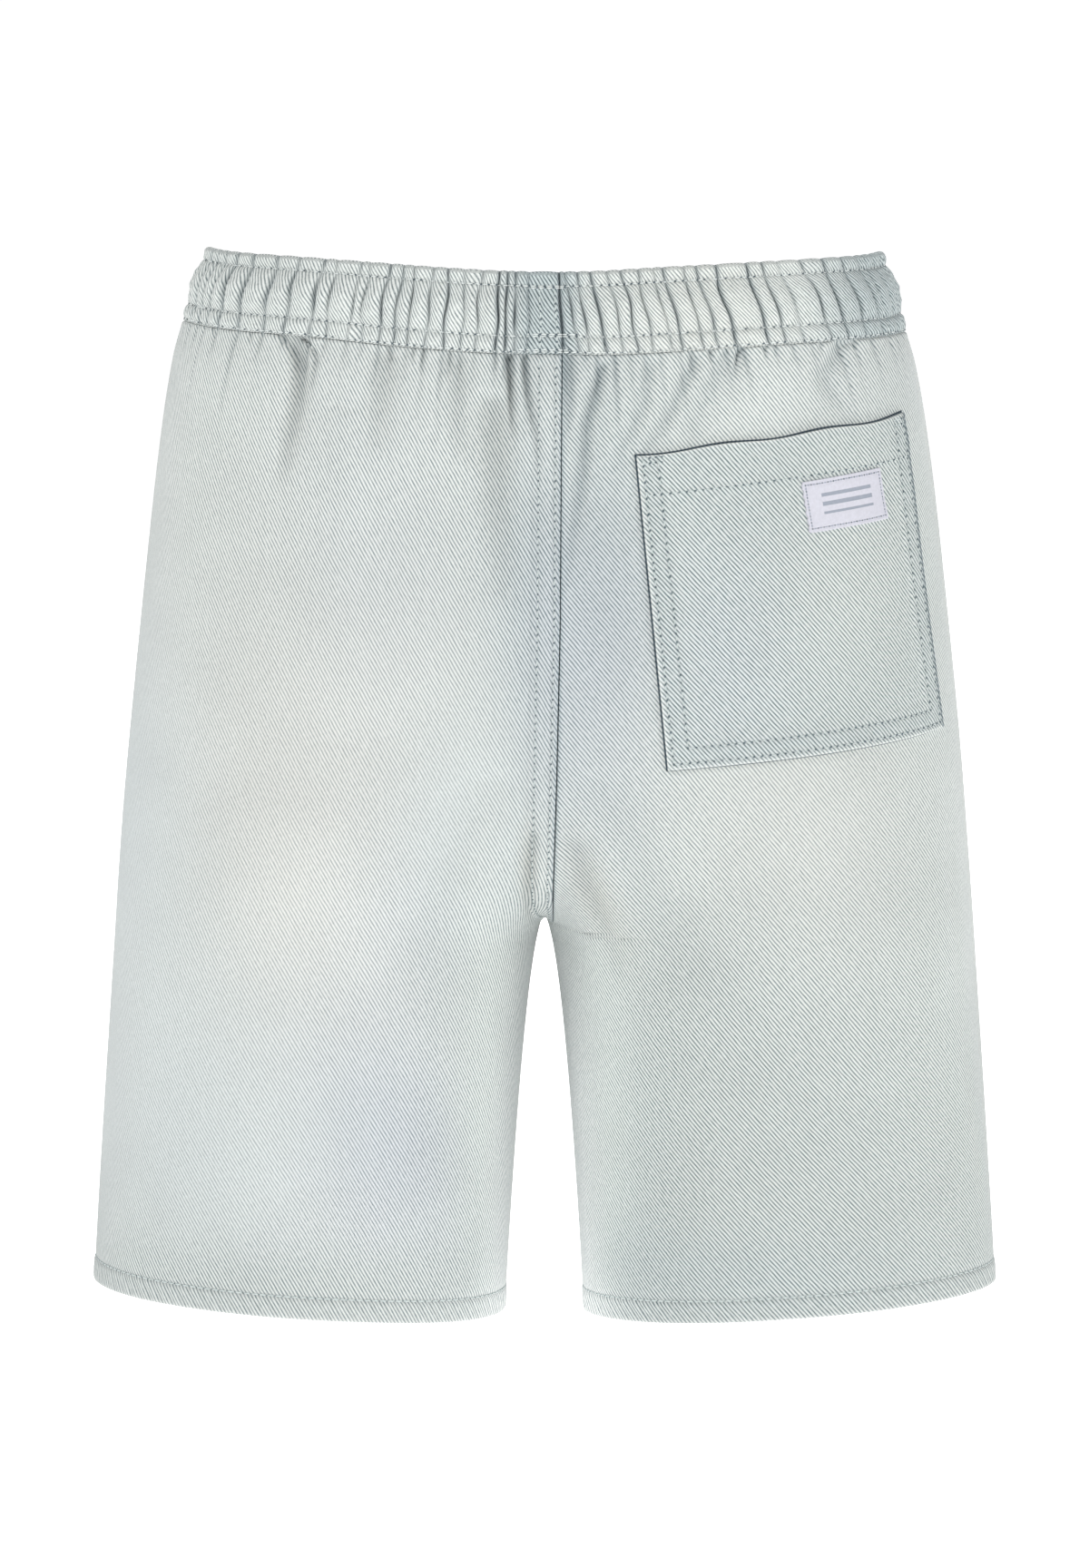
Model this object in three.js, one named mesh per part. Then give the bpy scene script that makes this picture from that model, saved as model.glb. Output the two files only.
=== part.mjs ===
// Knee-length pull-on denim shorts for a child, filled out as if worn: a gathered elastic
// waistband, two back and two front panels, a patch pocket with a sewn label on the back.
// Millimetres, +Z up. The origin is the middle of the waist opening, level with the band's
// top edge at the sides. The back of the garment faces -Y, and +X is the wearer's right.
import * as THREE from 'three';

// The main sizes of the garment.
const bandHeight = 31;
const crotchLevel = -266;
const hemLevel = -422.5;
const hemRise = 12; // the outer corner of each hem hangs this much higher than the inner one
const hemGap = 15.7; // half the gap between the legs at the hem
const seamGap = 0.3;

// Cloth walls. Denim is built a little thicker than the real 0.9 mm cloth.
const denimWall = 1.4;
const hemWall = 2.4; // the folded hem is three layers
const hemDepth = 9;
const bandWall = 2.6; // two layers of denim with the elastic between them
const labelWall = 1.0;

// The section of the garment at each level, from the waist down: half its width at the sides,
// and how far the back and the front stand out from the middle.
const sections = [
  { level: 0, side: 133.2, back: 74, front: 72 },
  { level: -5.4, side: 134.8, back: 75, front: 73 },
  { level: -14, side: 138.2, back: 77.8, front: 75 },
  { level: -24.6, side: 140.8, back: 79, front: 76 },
  { level: -31, side: 142.8, back: 80, front: 77 },
  { level: -45, side: 147, back: 84, front: 79.5 },
  { level: -80, side: 152.8, back: 89.5, front: 82 },
  { level: -140, side: 159.6, back: 93, front: 84 },
  { level: -205, side: 165.8, back: 91.5, front: 83 },
  { level: -266, side: 170.2, back: 83, front: 77 },
  { level: -330, side: 174.4, back: 74.5, front: 69 },
  { level: -422.5, side: 179.4, back: 66, front: 60 },
];
const roundness = 2.2; // 2 is an ellipse, and more is squarer
const riseReach = 150; // the seat starts to part into two legs this far above the crotch
const risePower = 2.5;
const riseEase = { start: 0.3, over: 15 }; // the parting slows down just above the crotch
const valleyRadius = 12; // how softly the two halves of the seat meet
const valleyReach = 30;
const gapPower = 0.56;

// The waist edge is level at the back and falls towards the front.
const waistFall = 0.25;
const waistFallBlend = 8; // how softly the fall begins at the sides
const waistFallReach = 119; // the fall dies out this far below the band
const hemRiseStart = -300;

// The centre back seam lies beside the middle line, because its allowance is pressed to one side.
const seatSeamShift = 7.5;
const seatSeamBlend = 24;
const felledWidth = 10.4; // the stitched-down seam allowance
const felledEdge = 1.2; // it drops to the plain cloth over this width
const felledRaise = 0.6;

// Gathers of the waistband: this many on each quarter, uneven in width and in how far they puff.
const gathersPerQuarter = 18;
const widthWaves = [{ size: 0.3, pace: 2.4, start: 0 }, { size: 0.16, pace: 5.1, start: 1 }];
const puffWave = { size: 0.25, pace: 1.7, sideStart: 2 };
const columnsPerGather = 3;
const gatherHeights = [
  { below: 0, puff: 0.7 },
  { below: 2.6, puff: 1.2 },
  { below: 5.4, puff: 0.2 }, // upper stitch row
  { below: 15, puff: 2.1 },
  { below: 24.6, puff: 0.2 }, // middle stitch row
  { below: 31, puff: 0.2 }, // lower stitch row, at the band's lower edge
];

// The largest folds under the band. across is measured round the cloth from the middle of the
// back or front, plus to the wearer's right, and a fold runs from its top to its foot.
const foldStart = 14; // a fold reaches its full depth this far below its top
const foldAtBand = 0.5; // and one that starts at the band has this share of it there
const folds = [
  { face: 'back', top: -31, topAcross: -97, foot: -86, footAcross: -103, width: 8, depth: 3.0 },
  { face: 'back', top: -31, topAcross: -57, foot: -74, footAcross: -66, width: 8, depth: 1.6 },
  { face: 'back', top: -31, topAcross: -14, foot: -84, footAcross: -12, width: 6, depth: 3.2 },
  { face: 'back', top: -44, topAcross: -25, foot: -128, footAcross: -14, width: 9, depth: 1.8 },
  { face: 'back', top: -34, topAcross: 22, foot: -94, footAcross: 13, width: 7, depth: 2.4 },
  { face: 'back', top: -31, topAcross: 60, foot: -78, footAcross: 42, width: 8, depth: 2.4 },
  { face: 'back', top: -31, topAcross: 80, foot: -76, footAcross: 54, width: 7, depth: 2.8 },
  { face: 'back', top: -31, topAcross: 126, foot: -66, footAcross: 110, width: 10, depth: 2.4 },
  { face: 'front', top: -31, topAcross: -112, foot: -84, footAcross: -104, width: 9, depth: 2.6 },
  { face: 'front', top: -31, topAcross: -74, foot: -78, footAcross: -60, width: 8, depth: 2.2 },
  { face: 'front', top: -31, topAcross: -30, foot: -96, footAcross: -22, width: 8, depth: 2.4 },
  { face: 'front', top: -31, topAcross: 18, foot: -88, footAcross: 14, width: 7, depth: 2.6 },
  { face: 'front', top: -31, topAcross: 62, foot: -76, footAcross: 52, width: 8, depth: 2.2 },
  { face: 'front', top: -31, topAcross: 104, foot: -90, footAcross: 108, width: 9, depth: 2.8 },
];

// The patch pocket on the wearer's right back, and the label on it, by their corners.
const pocket = {
  topInner: { across: 35.7, level: -71 },
  topOuter: { across: 154.9, level: -61.5 },
  bottomInner: { across: 48.1, level: -194.5 },
  bottomOuter: { across: 175.3, level: -185 },
  hemDepth: 16, // the turned and stitched top edge
  hemWall: 1.9,
  columns: 12,
  rows: 13,
};
const label = {
  topInner: { across: 101.2, level: -84 },
  topOuter: { across: 137.6, level: -80.6 },
  bottomInner: { across: 104.6, level: -103.6 },
  bottomOuter: { across: 142.2, level: -100.4 },
  columns: 5,
  rows: 3,
};

// Levels of the panels' rows, close together round the crotch.
const rowsAboveCrotch = [39, 50, 64, 82, 106, 134, 162, 188, 210, 228, 243, 253, 260, 264.2];
const rowsBelowCrotch = [268.5, 276, 290, 314, 348, 384];
const backColumns = 25;
const frontColumns = 18;
const arcSteps = 160;

// Near the crotch the cloth reaches round to the inside leg all at once. Only the columns in the
// inner share of a panel spread into that reach. The others keep to this even width of cloth.
const innerShare = 0.5;
const evenReach = [
  { level: -31, back: 180, front: 178 },
  { level: -140, back: 204, front: 198 },
  { level: -266, back: 238, front: 230 },
  { level: -422.5, back: 232, front: 228 },
];

const colours = { denim: 0xd3d7d4, band: 0xccd3d2, pocket: 0xced4d2, label: 0xe8e8ee };
const clothRoughness = 0.9;

const clamp01 = (t) => Math.min(1, Math.max(0, t));
const mix = (a, b, t) => a + (b - a) * t;
const smooth = (t) => clamp01(t) ** 2 * (3 - 2 * clamp01(t));

// A smooth curve through one column of a table with a row for each level, without overshoot.
function alongTable(table, level, column) {
  const n = table.length;
  const slope = (k) => {
    const from = table[k];
    const to = table[k + 1];
    return (to[column] - from[column]) / (to.level - from.level);
  };
  const tangent = (k) => {
    if (k === 0) return slope(0);
    if (k === n - 1) return slope(n - 2);
    const before = slope(k - 1);
    const after = slope(k);
    return before * after <= 0 ? 0 : (2 * before * after) / (before + after);
  };
  let k = 0;
  while (k < n - 2 && level < table[k + 1].level) k += 1;
  const span = table[k + 1].level - table[k].level;
  const t = clamp01((level - table[k].level) / span);
  return table[k][column] * (1 + 2 * t) * (1 - t) ** 2
    + tangent(k) * span * t * (1 - t) ** 2
    + table[k + 1][column] * t * t * (3 - 2 * t)
    + tangent(k + 1) * span * t * t * (t - 1);
}

// One half of the garment at a level is a rounded curve about a centre that moves out from the
// middle line towards the crotch, so that the seat parts into two legs.
function halfSection(level, face) {
  const side = alongTable(sections, level, 'side');
  const depth = alongTable(sections, level, face);
  const above = level - crotchLevel;
  if (above > 0) {
    const ease = mix(riseEase.start, 1, above / (above + riseEase.over));
    const parting = 1 - ease * (1 - clamp01(1 - above / riseReach) ** risePower);
    const width = side / (1 + parting);
    const valley = valleyRadius * (1 - Math.exp(-above / valleyReach));
    return { centre: parting * width, width, depth, valley };
  }
  const gap = hemGap * (above / (hemLevel - crotchLevel)) ** gapPower;
  return { centre: (side + gap) / 2, width: (side - gap) / 2, depth, valley: 0 };
}

function seamShift(level, face) {
  const above = Math.max(0, level - crotchLevel);
  return face === 'back' ? seatSeamShift * (1 - Math.exp(-above / seatSeamBlend)) : 0;
}

function angleAt(section, reach) {
  const share = Math.max(-1, Math.min(1, (reach - section.centre) / section.width));
  return Math.acos(Math.sign(share) * Math.abs(share) ** (roundness / 2));
}

function pointAt(section, angle, face) {
  const cosine = Math.cos(angle);
  const power = 2 / roundness;
  const reach = section.centre + section.width * Math.sign(cosine) * Math.abs(cosine) ** power;
  const x = Math.sqrt(Math.max(0, reach ** 2 - section.valley ** 2));
  const y = section.depth * Math.abs(Math.sin(angle)) ** power;
  return { x, y: face === 'back' ? -y : y };
}

// The section's curve as points with their distance round the cloth from the middle line.
const curveCache = new Map();
function sectionCurve(level, face) {
  const key = `${face}${level.toFixed(4)}`;
  if (curveCache.has(key)) return curveCache.get(key);
  const section = halfSection(level, face);
  const start = level > crotchLevel ? angleAt(section, section.valley) : Math.PI;
  const points = [];
  for (let k = 0; k <= arcSteps; k += 1) {
    const point = pointAt(section, start * (1 - k / arcSteps), face);
    const last = points[k - 1];
    point.across = k ? last.across + Math.hypot(point.x - last.x, point.y - last.y) : 0;
    points.push(point);
  }
  curveCache.set(key, points);
  return points;
}

// A point of the section at a distance round the cloth. A negative distance is on the other half.
function onSection(level, face, across) {
  const points = sectionCurve(level, face);
  const wanted = Math.min(Math.abs(across), points[arcSteps].across);
  let low = 0;
  let high = arcSteps;
  while (high - low > 1) {
    const middle = (low + high) >> 1;
    if (points[middle].across <= wanted) low = middle;
    else high = middle;
  }
  const span = points[high].across - points[low].across;
  const t = span > 0 ? (wanted - points[low].across) / span : 0;
  const x = mix(points[low].x, points[high].x, t);
  return { x: across < 0 ? -x : x, y: mix(points[low].y, points[high].y, t) };
}

// The height of a point of the cloth, with the waist edge's fall and the hem's rise.
function heightAt(level, x, y) {
  const blend = waistFallBlend;
  const fall = waistFall * blend * Math.log1p(Math.exp(y / blend));
  const atWaist = 1 - smooth((-bandHeight - level) / waistFallReach);
  const atHem = smooth((hemRiseStart - level) / (hemRiseStart - hemLevel));
  const outwards = clamp01((x - hemGap) / (sections[sections.length - 1].side - hemGap));
  return level - atWaist * fall + atHem * hemRise * outwards;
}

// The plain surface of the cloth on the wearer's right half.
function plainPoint(level, face, across) {
  const { x, y } = onSection(level, face, across);
  return new THREE.Vector3(x, y, heightAt(level, x, y));
}

// How far outside the section a point is: 0 on the cloth, and less than 0 inside the garment.
function outside(x, y, level, face) {
  const section = halfSection(level, face);
  const across = Math.abs(Math.hypot(x, section.valley) - section.centre) / section.width;
  return across ** roundness + (Math.abs(y) / section.depth) ** roundness - 1;
}

// The direction out of the cloth at a point of the section, by how fast outside() grows there.
function outwardNormal(level, face, across) {
  const { x, y } = onSection(level, face, across);
  const step = 0.3; // millimetres each way
  const grows = (dx, dy, dl) => (
    outside(x + dx, y + dy, level + dl, face) - outside(x - dx, y - dy, level - dl, face)
  );
  const lift = (dx, dy, dl) => (
    heightAt(level + dl, x + dx, y + dy) - heightAt(level - dl, x - dx, y - dy)
  ) / (2 * step);
  const upwards = grows(0, 0, step) / lift(0, 0, step);
  const normal = new THREE.Vector3(
    grows(step, 0, 0) - upwards * lift(step, 0, 0),
    grows(0, step, 0) - upwards * lift(0, step, 0),
    upwards,
  );
  return normal.normalize();
}

function foldDepth(level, face, across, side) {
  let depth = 0;
  for (const fold of folds) {
    if (fold.face !== face) continue;
    const t = (level - fold.top) / (fold.foot - fold.top);
    if (t < 0 || t > 1) continue;
    const middle = mix(fold.topAcross, fold.footAcross, t);
    const away = (side * across - middle) / fold.width;
    const topShare = fold.top === -bandHeight ? foldAtBand : 0;
    const begun = mix(topShare, 1, smooth((fold.top - level) / foldStart));
    depth += fold.depth * begun * Math.exp(-away * away) * Math.cos((t * Math.PI) / 2);
  }
  return depth;
}

// The outer face of the cloth with its folds and felled seam, moved out by a distance.
function clothPoint(level, face, across, side, out) {
  const onFell = side < 0 && face === 'back' && level > crotchLevel;
  const pastFell = across + seamShift(level, face) - felledWidth;
  const fell = onFell && pastFell < felledEdge / 2 ? felledRaise : 0;
  const total = out + fell - foldDepth(level, face, across, side);
  const normal = outwardNormal(level, face, across);
  return plainPoint(level, face, across).addScaledVector(normal, total);
}

// Closes a grid of outer points and a grid of inner points into one wall.
function wallGeometry(outer, inner, closedRound, flipped) {
  const rows = outer.length;
  const columns = outer[0].length;
  const positions = [...outer, ...inner].flat().flatMap((p) => [p.x, p.y, p.z]);
  const index = [];
  const at = (layer, i, j) => (layer * rows + i) * columns + (j % columns);
  const quad = (a, b, c, d) => {
    if (flipped) index.push(a, c, b, a, d, c);
    else index.push(a, b, c, a, c, d);
  };
  const lastColumn = closedRound ? columns : columns - 1;
  for (let j = 0; j < lastColumn; j += 1) {
    for (let i = 0; i < rows - 1; i += 1) {
      quad(at(0, i, j), at(0, i + 1, j), at(0, i + 1, j + 1), at(0, i, j + 1));
      quad(at(1, i, j), at(1, i, j + 1), at(1, i + 1, j + 1), at(1, i + 1, j));
    }
    quad(at(0, 0, j), at(0, 0, j + 1), at(1, 0, j + 1), at(1, 0, j));
    quad(at(0, rows - 1, j), at(1, rows - 1, j), at(1, rows - 1, j + 1), at(0, rows - 1, j + 1));
  }
  if (!closedRound) {
    for (let i = 0; i < rows - 1; i += 1) {
      const last = columns - 1;
      quad(at(0, i, 0), at(1, i, 0), at(1, i + 1, 0), at(0, i + 1, 0));
      quad(at(0, i, last), at(0, i + 1, last), at(1, i + 1, last), at(1, i, last));
    }
  }
  const geometry = new THREE.BufferGeometry();
  geometry.setAttribute('position', new THREE.Float32BufferAttribute(positions, 3));
  geometry.setIndex(index);
  geometry.computeVertexNormals();
  return geometry;
}

function clothMesh(name, geometry, colour) {
  const look = { color: colour, roughness: clothRoughness, metalness: 0 };
  const material = new THREE.MeshStandardMaterial(look);
  const mesh = new THREE.Mesh(geometry, material);
  mesh.name = name;
  return mesh;
}

// side is 1 for the wearer's right and -1 for the left. The right half is shifted half a seam
// gap from the middle plane, and the left half mirrors it.
function placed(point, side) {
  return new THREE.Vector3(side * (point.x + seamGap / 2), point.y, point.z);
}

function panel(name, face, side) {
  const columns = face === 'back' ? backColumns : frontColumns;
  const levels = [
    -bandHeight - seamGap / 2,
    ...rowsAboveCrotch.map((depth) => -depth),
    crotchLevel,
    ...rowsBelowCrotch.map((depth) => -depth),
    hemLevel + hemDepth + 1,
    hemLevel + hemDepth,
    hemLevel,
  ];
  const outer = [];
  const inner = [];
  for (const level of levels) {
    const sideSeam = sectionCurve(level, face)[arcSteps].across - seamGap / 2;
    const atSeam = level > crotchLevel ? side * seamShift(level, face) : seamGap / 2;
    const fellColumns = [0, felledWidth, felledWidth + felledEdge].map((past) => atSeam + past);
    const reach = sideSeam - fellColumns[2];
    const even = Math.min(alongTable(evenReach, level, face), sideSeam) - fellColumns[2];
    const wall = level <= hemLevel + hemDepth ? hemWall : denimWall;
    const outerRow = [];
    const innerRow = [];
    for (let j = 0; j <= columns; j += 1) {
      const fromSide = 1 - (j - 2) / (columns - 2);
      const spread = smooth((fromSide - 1 + innerShare) / innerShare);
      const evenly = sideSeam - mix(even, reach, spread) * fromSide;
      const across = j < 2 ? fellColumns[j] : evenly;
      const skin = clothPoint(level, face, across, side, 0);
      const normal = outwardNormal(level, face, across);
      const base = plainPoint(level, face, across);
      base.addScaledVector(normal, -wall - foldDepth(level, face, across, side));
      outerRow.push(placed(skin, side));
      innerRow.push(placed(base, side));
    }
    outer.push(outerRow);
    inner.push(innerRow);
  }
  const flipped = (face === 'back') !== (side > 0);
  return clothMesh(name, wallGeometry(outer, inner, false, flipped), colours.denim);
}

// Where the creases between the gathers lie on a quarter of the band, as shares of its length.
function creaseShares() {
  const widths = [];
  for (let k = 0; k < gathersPerQuarter; k += 1) {
    const uneven = widthWaves.map(({ size, pace, start }) => size * Math.sin(pace * k + start));
    widths.push(1 + uneven[0] + uneven[1]);
  }
  const sum = widths.reduce((a, b) => a + b, 0);
  const shares = [0];
  for (const width of widths) shares.push(shares[shares.length - 1] + width / sum);
  return shares;
}

function waistband() {
  const shares = creaseShares();
  const columnShares = [];
  for (let k = 0; k < gathersPerQuarter; k += 1) {
    for (let c = 0; c < columnsPerGather; c += 1) {
      const share = mix(shares[k], shares[k + 1], c / columnsPerGather);
      columnShares.push({ share, puff: c === 0 ? 0 : 1, gather: k });
    }
  }
  const closing = { share: 1, puff: 0, gather: gathersPerQuarter };
  const quarters = [
    { face: 'back', side: 1, outwards: true },
    { face: 'front', side: 1, outwards: false },
    { face: 'front', side: -1, outwards: true },
    { face: 'back', side: -1, outwards: false },
  ];
  const ring = quarters.flatMap(({ face, side, outwards }) => {
    const list = outwards ? columnShares : [closing, ...columnShares.slice(1).reverse()];
    return list.map((column) => ({ ...column, face, side }));
  });
  const pointOn = (column, below, out) => {
    const level = below < bandHeight ? -below : -bandHeight + seamGap / 2;
    const total = sectionCurve(level, column.face)[arcSteps].across;
    const across = column.share * total;
    const normal = outwardNormal(level, column.face, across);
    const point = plainPoint(level, column.face, across).addScaledVector(normal, out);
    return new THREE.Vector3(column.side * point.x, point.y, point.z);
  };
  const outer = gatherHeights.map(({ below, puff }) => ring.map((column) => {
    const wave = Math.sin(puffWave.pace * column.gather + puffWave.sideStart * column.side);
    return pointOn(column, below, column.puff * puff * (1 + puffWave.size * wave));
  }));
  const inner = gatherHeights.map(({ below }) => ring.map((c) => pointOn(c, below, -bandWall)));
  return clothMesh('waistband', wallGeometry(outer, inner, true, false), colours.band);
}

// A patch that lies on the wearer's right back panel, between two distances from its outer face.
function patch(name, outline, rows, columns, under, over, colour) {
  const corner = (i, j, key) => mix(
    mix(outline.topInner[key], outline.topOuter[key], j / columns),
    mix(outline.bottomInner[key], outline.bottomOuter[key], j / columns),
    i,
  );
  const layer = (distance) => rows.map((share) => {
    const row = [];
    for (let j = 0; j <= columns; j += 1) {
      const level = corner(share, j, 'level');
      const across = corner(share, j, 'across');
      row.push(placed(clothPoint(level, 'back', across, 1, distance(share)), 1));
    }
    return row;
  });
  return clothMesh(name, wallGeometry(layer(over), layer(under), false, false), colour);
}

function pocketPatch() {
  const height = pocket.topInner.level - pocket.bottomInner.level;
  const hemShare = pocket.hemDepth / height;
  const rows = [0, hemShare, hemShare + 1 / height];
  for (let i = 2; i <= pocket.rows; i += 1) rows.push(i / pocket.rows);
  const over = (share) => seamGap + (share <= hemShare ? pocket.hemWall : denimWall);
  return patch('back_pocket', pocket, rows, pocket.columns, () => seamGap, over, colours.pocket);
}

function sewnLabel() {
  const rows = [];
  for (let i = 0; i <= label.rows; i += 1) rows.push(i / label.rows);
  const under = 2 * seamGap + denimWall;
  const over = () => under + labelWall;
  return patch('pocket_label', label, rows, label.columns, () => under, over, colours.label);
}

const shorts = new THREE.Group();
shorts.add(
  waistband(),
  panel('back_panel_right', 'back', 1),
  panel('back_panel_left', 'back', -1),
  panel('front_panel_right', 'front', 1),
  panel('front_panel_left', 'front', -1),
  pocketPatch(),
  sewnLabel(),
);
export default shorts;
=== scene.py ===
# Knee-length pull-on denim shorts for a child, filled out as if worn and seen from the back.
# Sizes are in millimetres until a mesh is made in metres. +Z is up, the back of the garment
# faces -Y, and +X is the wearer's right.
import math

import bpy
import numpy as np
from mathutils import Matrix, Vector


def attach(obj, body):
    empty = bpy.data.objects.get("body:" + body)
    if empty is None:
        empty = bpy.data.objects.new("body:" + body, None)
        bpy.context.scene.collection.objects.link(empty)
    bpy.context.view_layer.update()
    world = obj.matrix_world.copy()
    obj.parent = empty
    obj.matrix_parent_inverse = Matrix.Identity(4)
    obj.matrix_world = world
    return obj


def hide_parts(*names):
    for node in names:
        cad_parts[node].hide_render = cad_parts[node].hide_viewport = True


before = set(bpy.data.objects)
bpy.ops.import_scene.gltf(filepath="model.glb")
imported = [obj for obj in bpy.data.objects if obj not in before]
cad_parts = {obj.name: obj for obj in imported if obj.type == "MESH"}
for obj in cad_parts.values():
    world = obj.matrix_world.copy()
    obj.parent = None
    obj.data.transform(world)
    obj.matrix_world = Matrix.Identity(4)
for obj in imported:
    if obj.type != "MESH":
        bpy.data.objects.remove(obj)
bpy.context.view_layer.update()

millimetre = 0.001

cameraSettings = {
    "place": (0.0, -5.175, 0.535),
    "aim": (0.0, 0.0, -0.213),
    "lens": 302.7,
    "sensorWidth": 36.0,
}


# Puts a mesh, camera or light in the scene.
def addObject(name, data):
    item = bpy.data.objects.new(name, data)
    bpy.context.collection.objects.link(item)
    return item


def makeCamera(settings):
    data = bpy.data.cameras.new("backViewCamera")
    data.lens = settings["lens"]
    data.sensor_width = settings["sensorWidth"]
    camera = addObject("backViewCamera", data)
    camera.location = settings["place"]
    towards = Vector(settings["aim"]) - Vector(settings["place"])
    camera.rotation_euler = towards.to_track_quat("-Z", "Y").to_euler()
    bpy.context.scene.camera = camera


makeCamera(cameraSettings)

# The filled-out form of the cloth, with the same sizes as the part's solids.
form = {
    "bandHeight": 31.0,
    "crotchLevel": -266.0,
    "hemLevel": -422.5,
    "hemRise": 12.0,
    "hemRiseStart": -300.0,
    "hemGap": 15.7,
    "gapPower": 0.56,
    "roundness": 2.2,  # 2 is an ellipse, and more is squarer
    "riseReach": 150.0,
    "risePower": 2.5,
    "riseEaseStart": 0.3,
    "riseEaseOver": 15.0,
    "valleyRadius": 12.0,
    "valleyReach": 30.0,
    "waistFall": 0.25,
    "waistFallBlend": 8.0,
    "waistFallReach": 119.0,
    "arcSteps": 400,
    "normalStep": 0.3,  # the form's slope is measured over this distance to each side
}
# level, half the width at the sides, how far the back and the front stand out
sections = np.array([
    (0.0, 133.2, 74.0, 72.0),
    (-5.4, 134.8, 75.0, 73.0),
    (-14.0, 138.2, 77.8, 75.0),
    (-24.6, 140.8, 79.0, 76.0),
    (-31.0, 142.8, 80.0, 77.0),
    (-45.0, 147.0, 84.0, 79.5),
    (-80.0, 152.8, 89.5, 82.0),
    (-140.0, 159.6, 93.0, 84.0),
    (-205.0, 165.8, 91.5, 83.0),
    (-266.0, 170.2, 83.0, 77.0),
    (-330.0, 174.4, 74.5, 69.0),
    (-422.5, 179.4, 66.0, 60.0),
])
# level, width of cloth on a back panel and on a front panel that is spread evenly
evenReach = np.array([
    (-31.0, 180.0, 178.0),
    (-140.0, 204.0, 198.0),
    (-266.0, 238.0, 230.0),
    (-422.5, 232.0, 228.0),
])


def mix(a, b, t):
    return a + (b - a) * t


def smooth(t):
    t = np.clip(t, 0.0, 1.0)
    return t * t * (3.0 - 2.0 * t)


# A smooth curve without overshoot through one column of a table whose first column is the level.
def alongTable(table, level, column):
    known = -table[:, 0]
    values = table[:, column]
    slopes = np.diff(values) / np.diff(known)
    before, after = slopes[:-1], slopes[1:]
    sameWay = before * after > 0
    total = np.where(sameWay, before + after, 1.0)
    tangents = np.concatenate([
        slopes[:1],
        np.where(sameWay, 2 * before * after / total, 0.0),
        slopes[-1:],
    ])
    depth = np.clip(-level, known[0], known[-1])
    k = np.clip(np.searchsorted(known, depth, side="right") - 1, 0, len(known) - 2)
    span = known[k + 1] - known[k]
    t = (depth - known[k]) / span
    return (
        values[k] * (1 + 2 * t) * (1 - t) ** 2
        + tangents[k] * span * t * (1 - t) ** 2
        + values[k + 1] * t * t * (3 - 2 * t)
        + tangents[k + 1] * span * t * t * (t - 1)
    )


# One half of the garment at a level: centre, half width, depth and the softness of the parting.
def halfSection(level, face):
    side = alongTable(sections, level, 1)
    depth = alongTable(sections, level, 2 if face == "back" else 3)
    above = np.maximum(level - form["crotchLevel"], 0.0)
    below = np.maximum(form["crotchLevel"] - level, 0.0)
    ease = mix(form["riseEaseStart"], 1.0, above / (above + form["riseEaseOver"]))
    near = np.clip(1 - above / form["riseReach"], 0.0, 1.0) ** form["risePower"]
    parting = 1 - ease * (1 - near)
    legHeight = form["crotchLevel"] - form["hemLevel"]
    gap = form["hemGap"] * (below / legHeight) ** form["gapPower"]
    onLeg = above <= 0
    width = np.where(onLeg, (side - gap) / 2, side / (1 + parting))
    centre = np.where(onLeg, (side + gap) / 2, parting * width)
    valley = form["valleyRadius"] * (1 - np.exp(-above / form["valleyReach"]))
    return centre, width, depth, valley


def angleAt(section, reach):
    centre, width, _, _ = section
    share = np.clip((reach - centre) / width, -1.0, 1.0)
    return np.arccos(np.sign(share) * np.abs(share) ** (form["roundness"] / 2))


def pointAt(section, angle, face):
    centre, width, depth, valley = section
    cosine = np.cos(angle)
    power = 2 / form["roundness"]
    reach = centre + width * np.sign(cosine) * np.abs(cosine) ** power
    x = np.sqrt(np.maximum(0.0, reach ** 2 - valley ** 2))
    y = depth * np.abs(np.sin(angle)) ** power
    return x, (-y if face == "back" else y)


# For each level, angles from the middle line round to the side, and the distances to them.
def arcCurves(level, face):
    section = [part[:, None] for part in halfSection(level, face)]
    onBody = level[:, None] > form["crotchLevel"]
    start = np.where(onBody, angleAt(section, section[3]), math.pi)
    share = np.linspace(0.0, 1.0, form["arcSteps"] + 1) ** 2  # close together at the start
    angles = start * (1.0 - share[None, :])
    x, y = pointAt(section, angles, face)
    steps = np.hypot(np.diff(x, axis=1), np.diff(y, axis=1))
    arcs = np.concatenate([np.zeros((len(level), 1)), np.cumsum(steps, axis=1)], axis=1)
    return angles, arcs


def sideReach(level, face):
    return arcCurves(np.atleast_1d(np.asarray(level, float)), face)[1][:, -1]


# The distance round the cloth to a distance from the middle plane.
def acrossAtX(level, face, x):
    level = np.atleast_1d(np.asarray(level, float))
    angles, arcs = arcCurves(level, face)
    section = halfSection(level, face)
    wanted = angleAt(section, np.sqrt(x ** 2 + section[3] ** 2))
    return np.array([np.interp(-w, -a, t) for w, a, t in zip(wanted, angles, arcs)])


# The seat seam lies to one side of the middle, and ends on the inside of the right leg: level, x
seatSeamLine = np.array([
    (-420.0, 3.4), (-266.0, 3.4), (-252.0, 3.3), (-200.0, 4.7), (-137.0, 6.1), (0.0, 7.0),
])
seatSeamEase = 3.0  # the line comes in over this height above the crotch


def seamShift(level, face):
    if face != "back":
        return np.zeros(np.shape(level))
    flat = np.ravel(level)
    above = np.maximum(0.0, flat - form["crotchLevel"])
    x = np.interp(flat, seatSeamLine[:, 0], seatSeamLine[:, 1])
    return (acrossAtX(flat, "back", x) * smooth(above / seatSeamEase)).reshape(np.shape(level))


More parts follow.
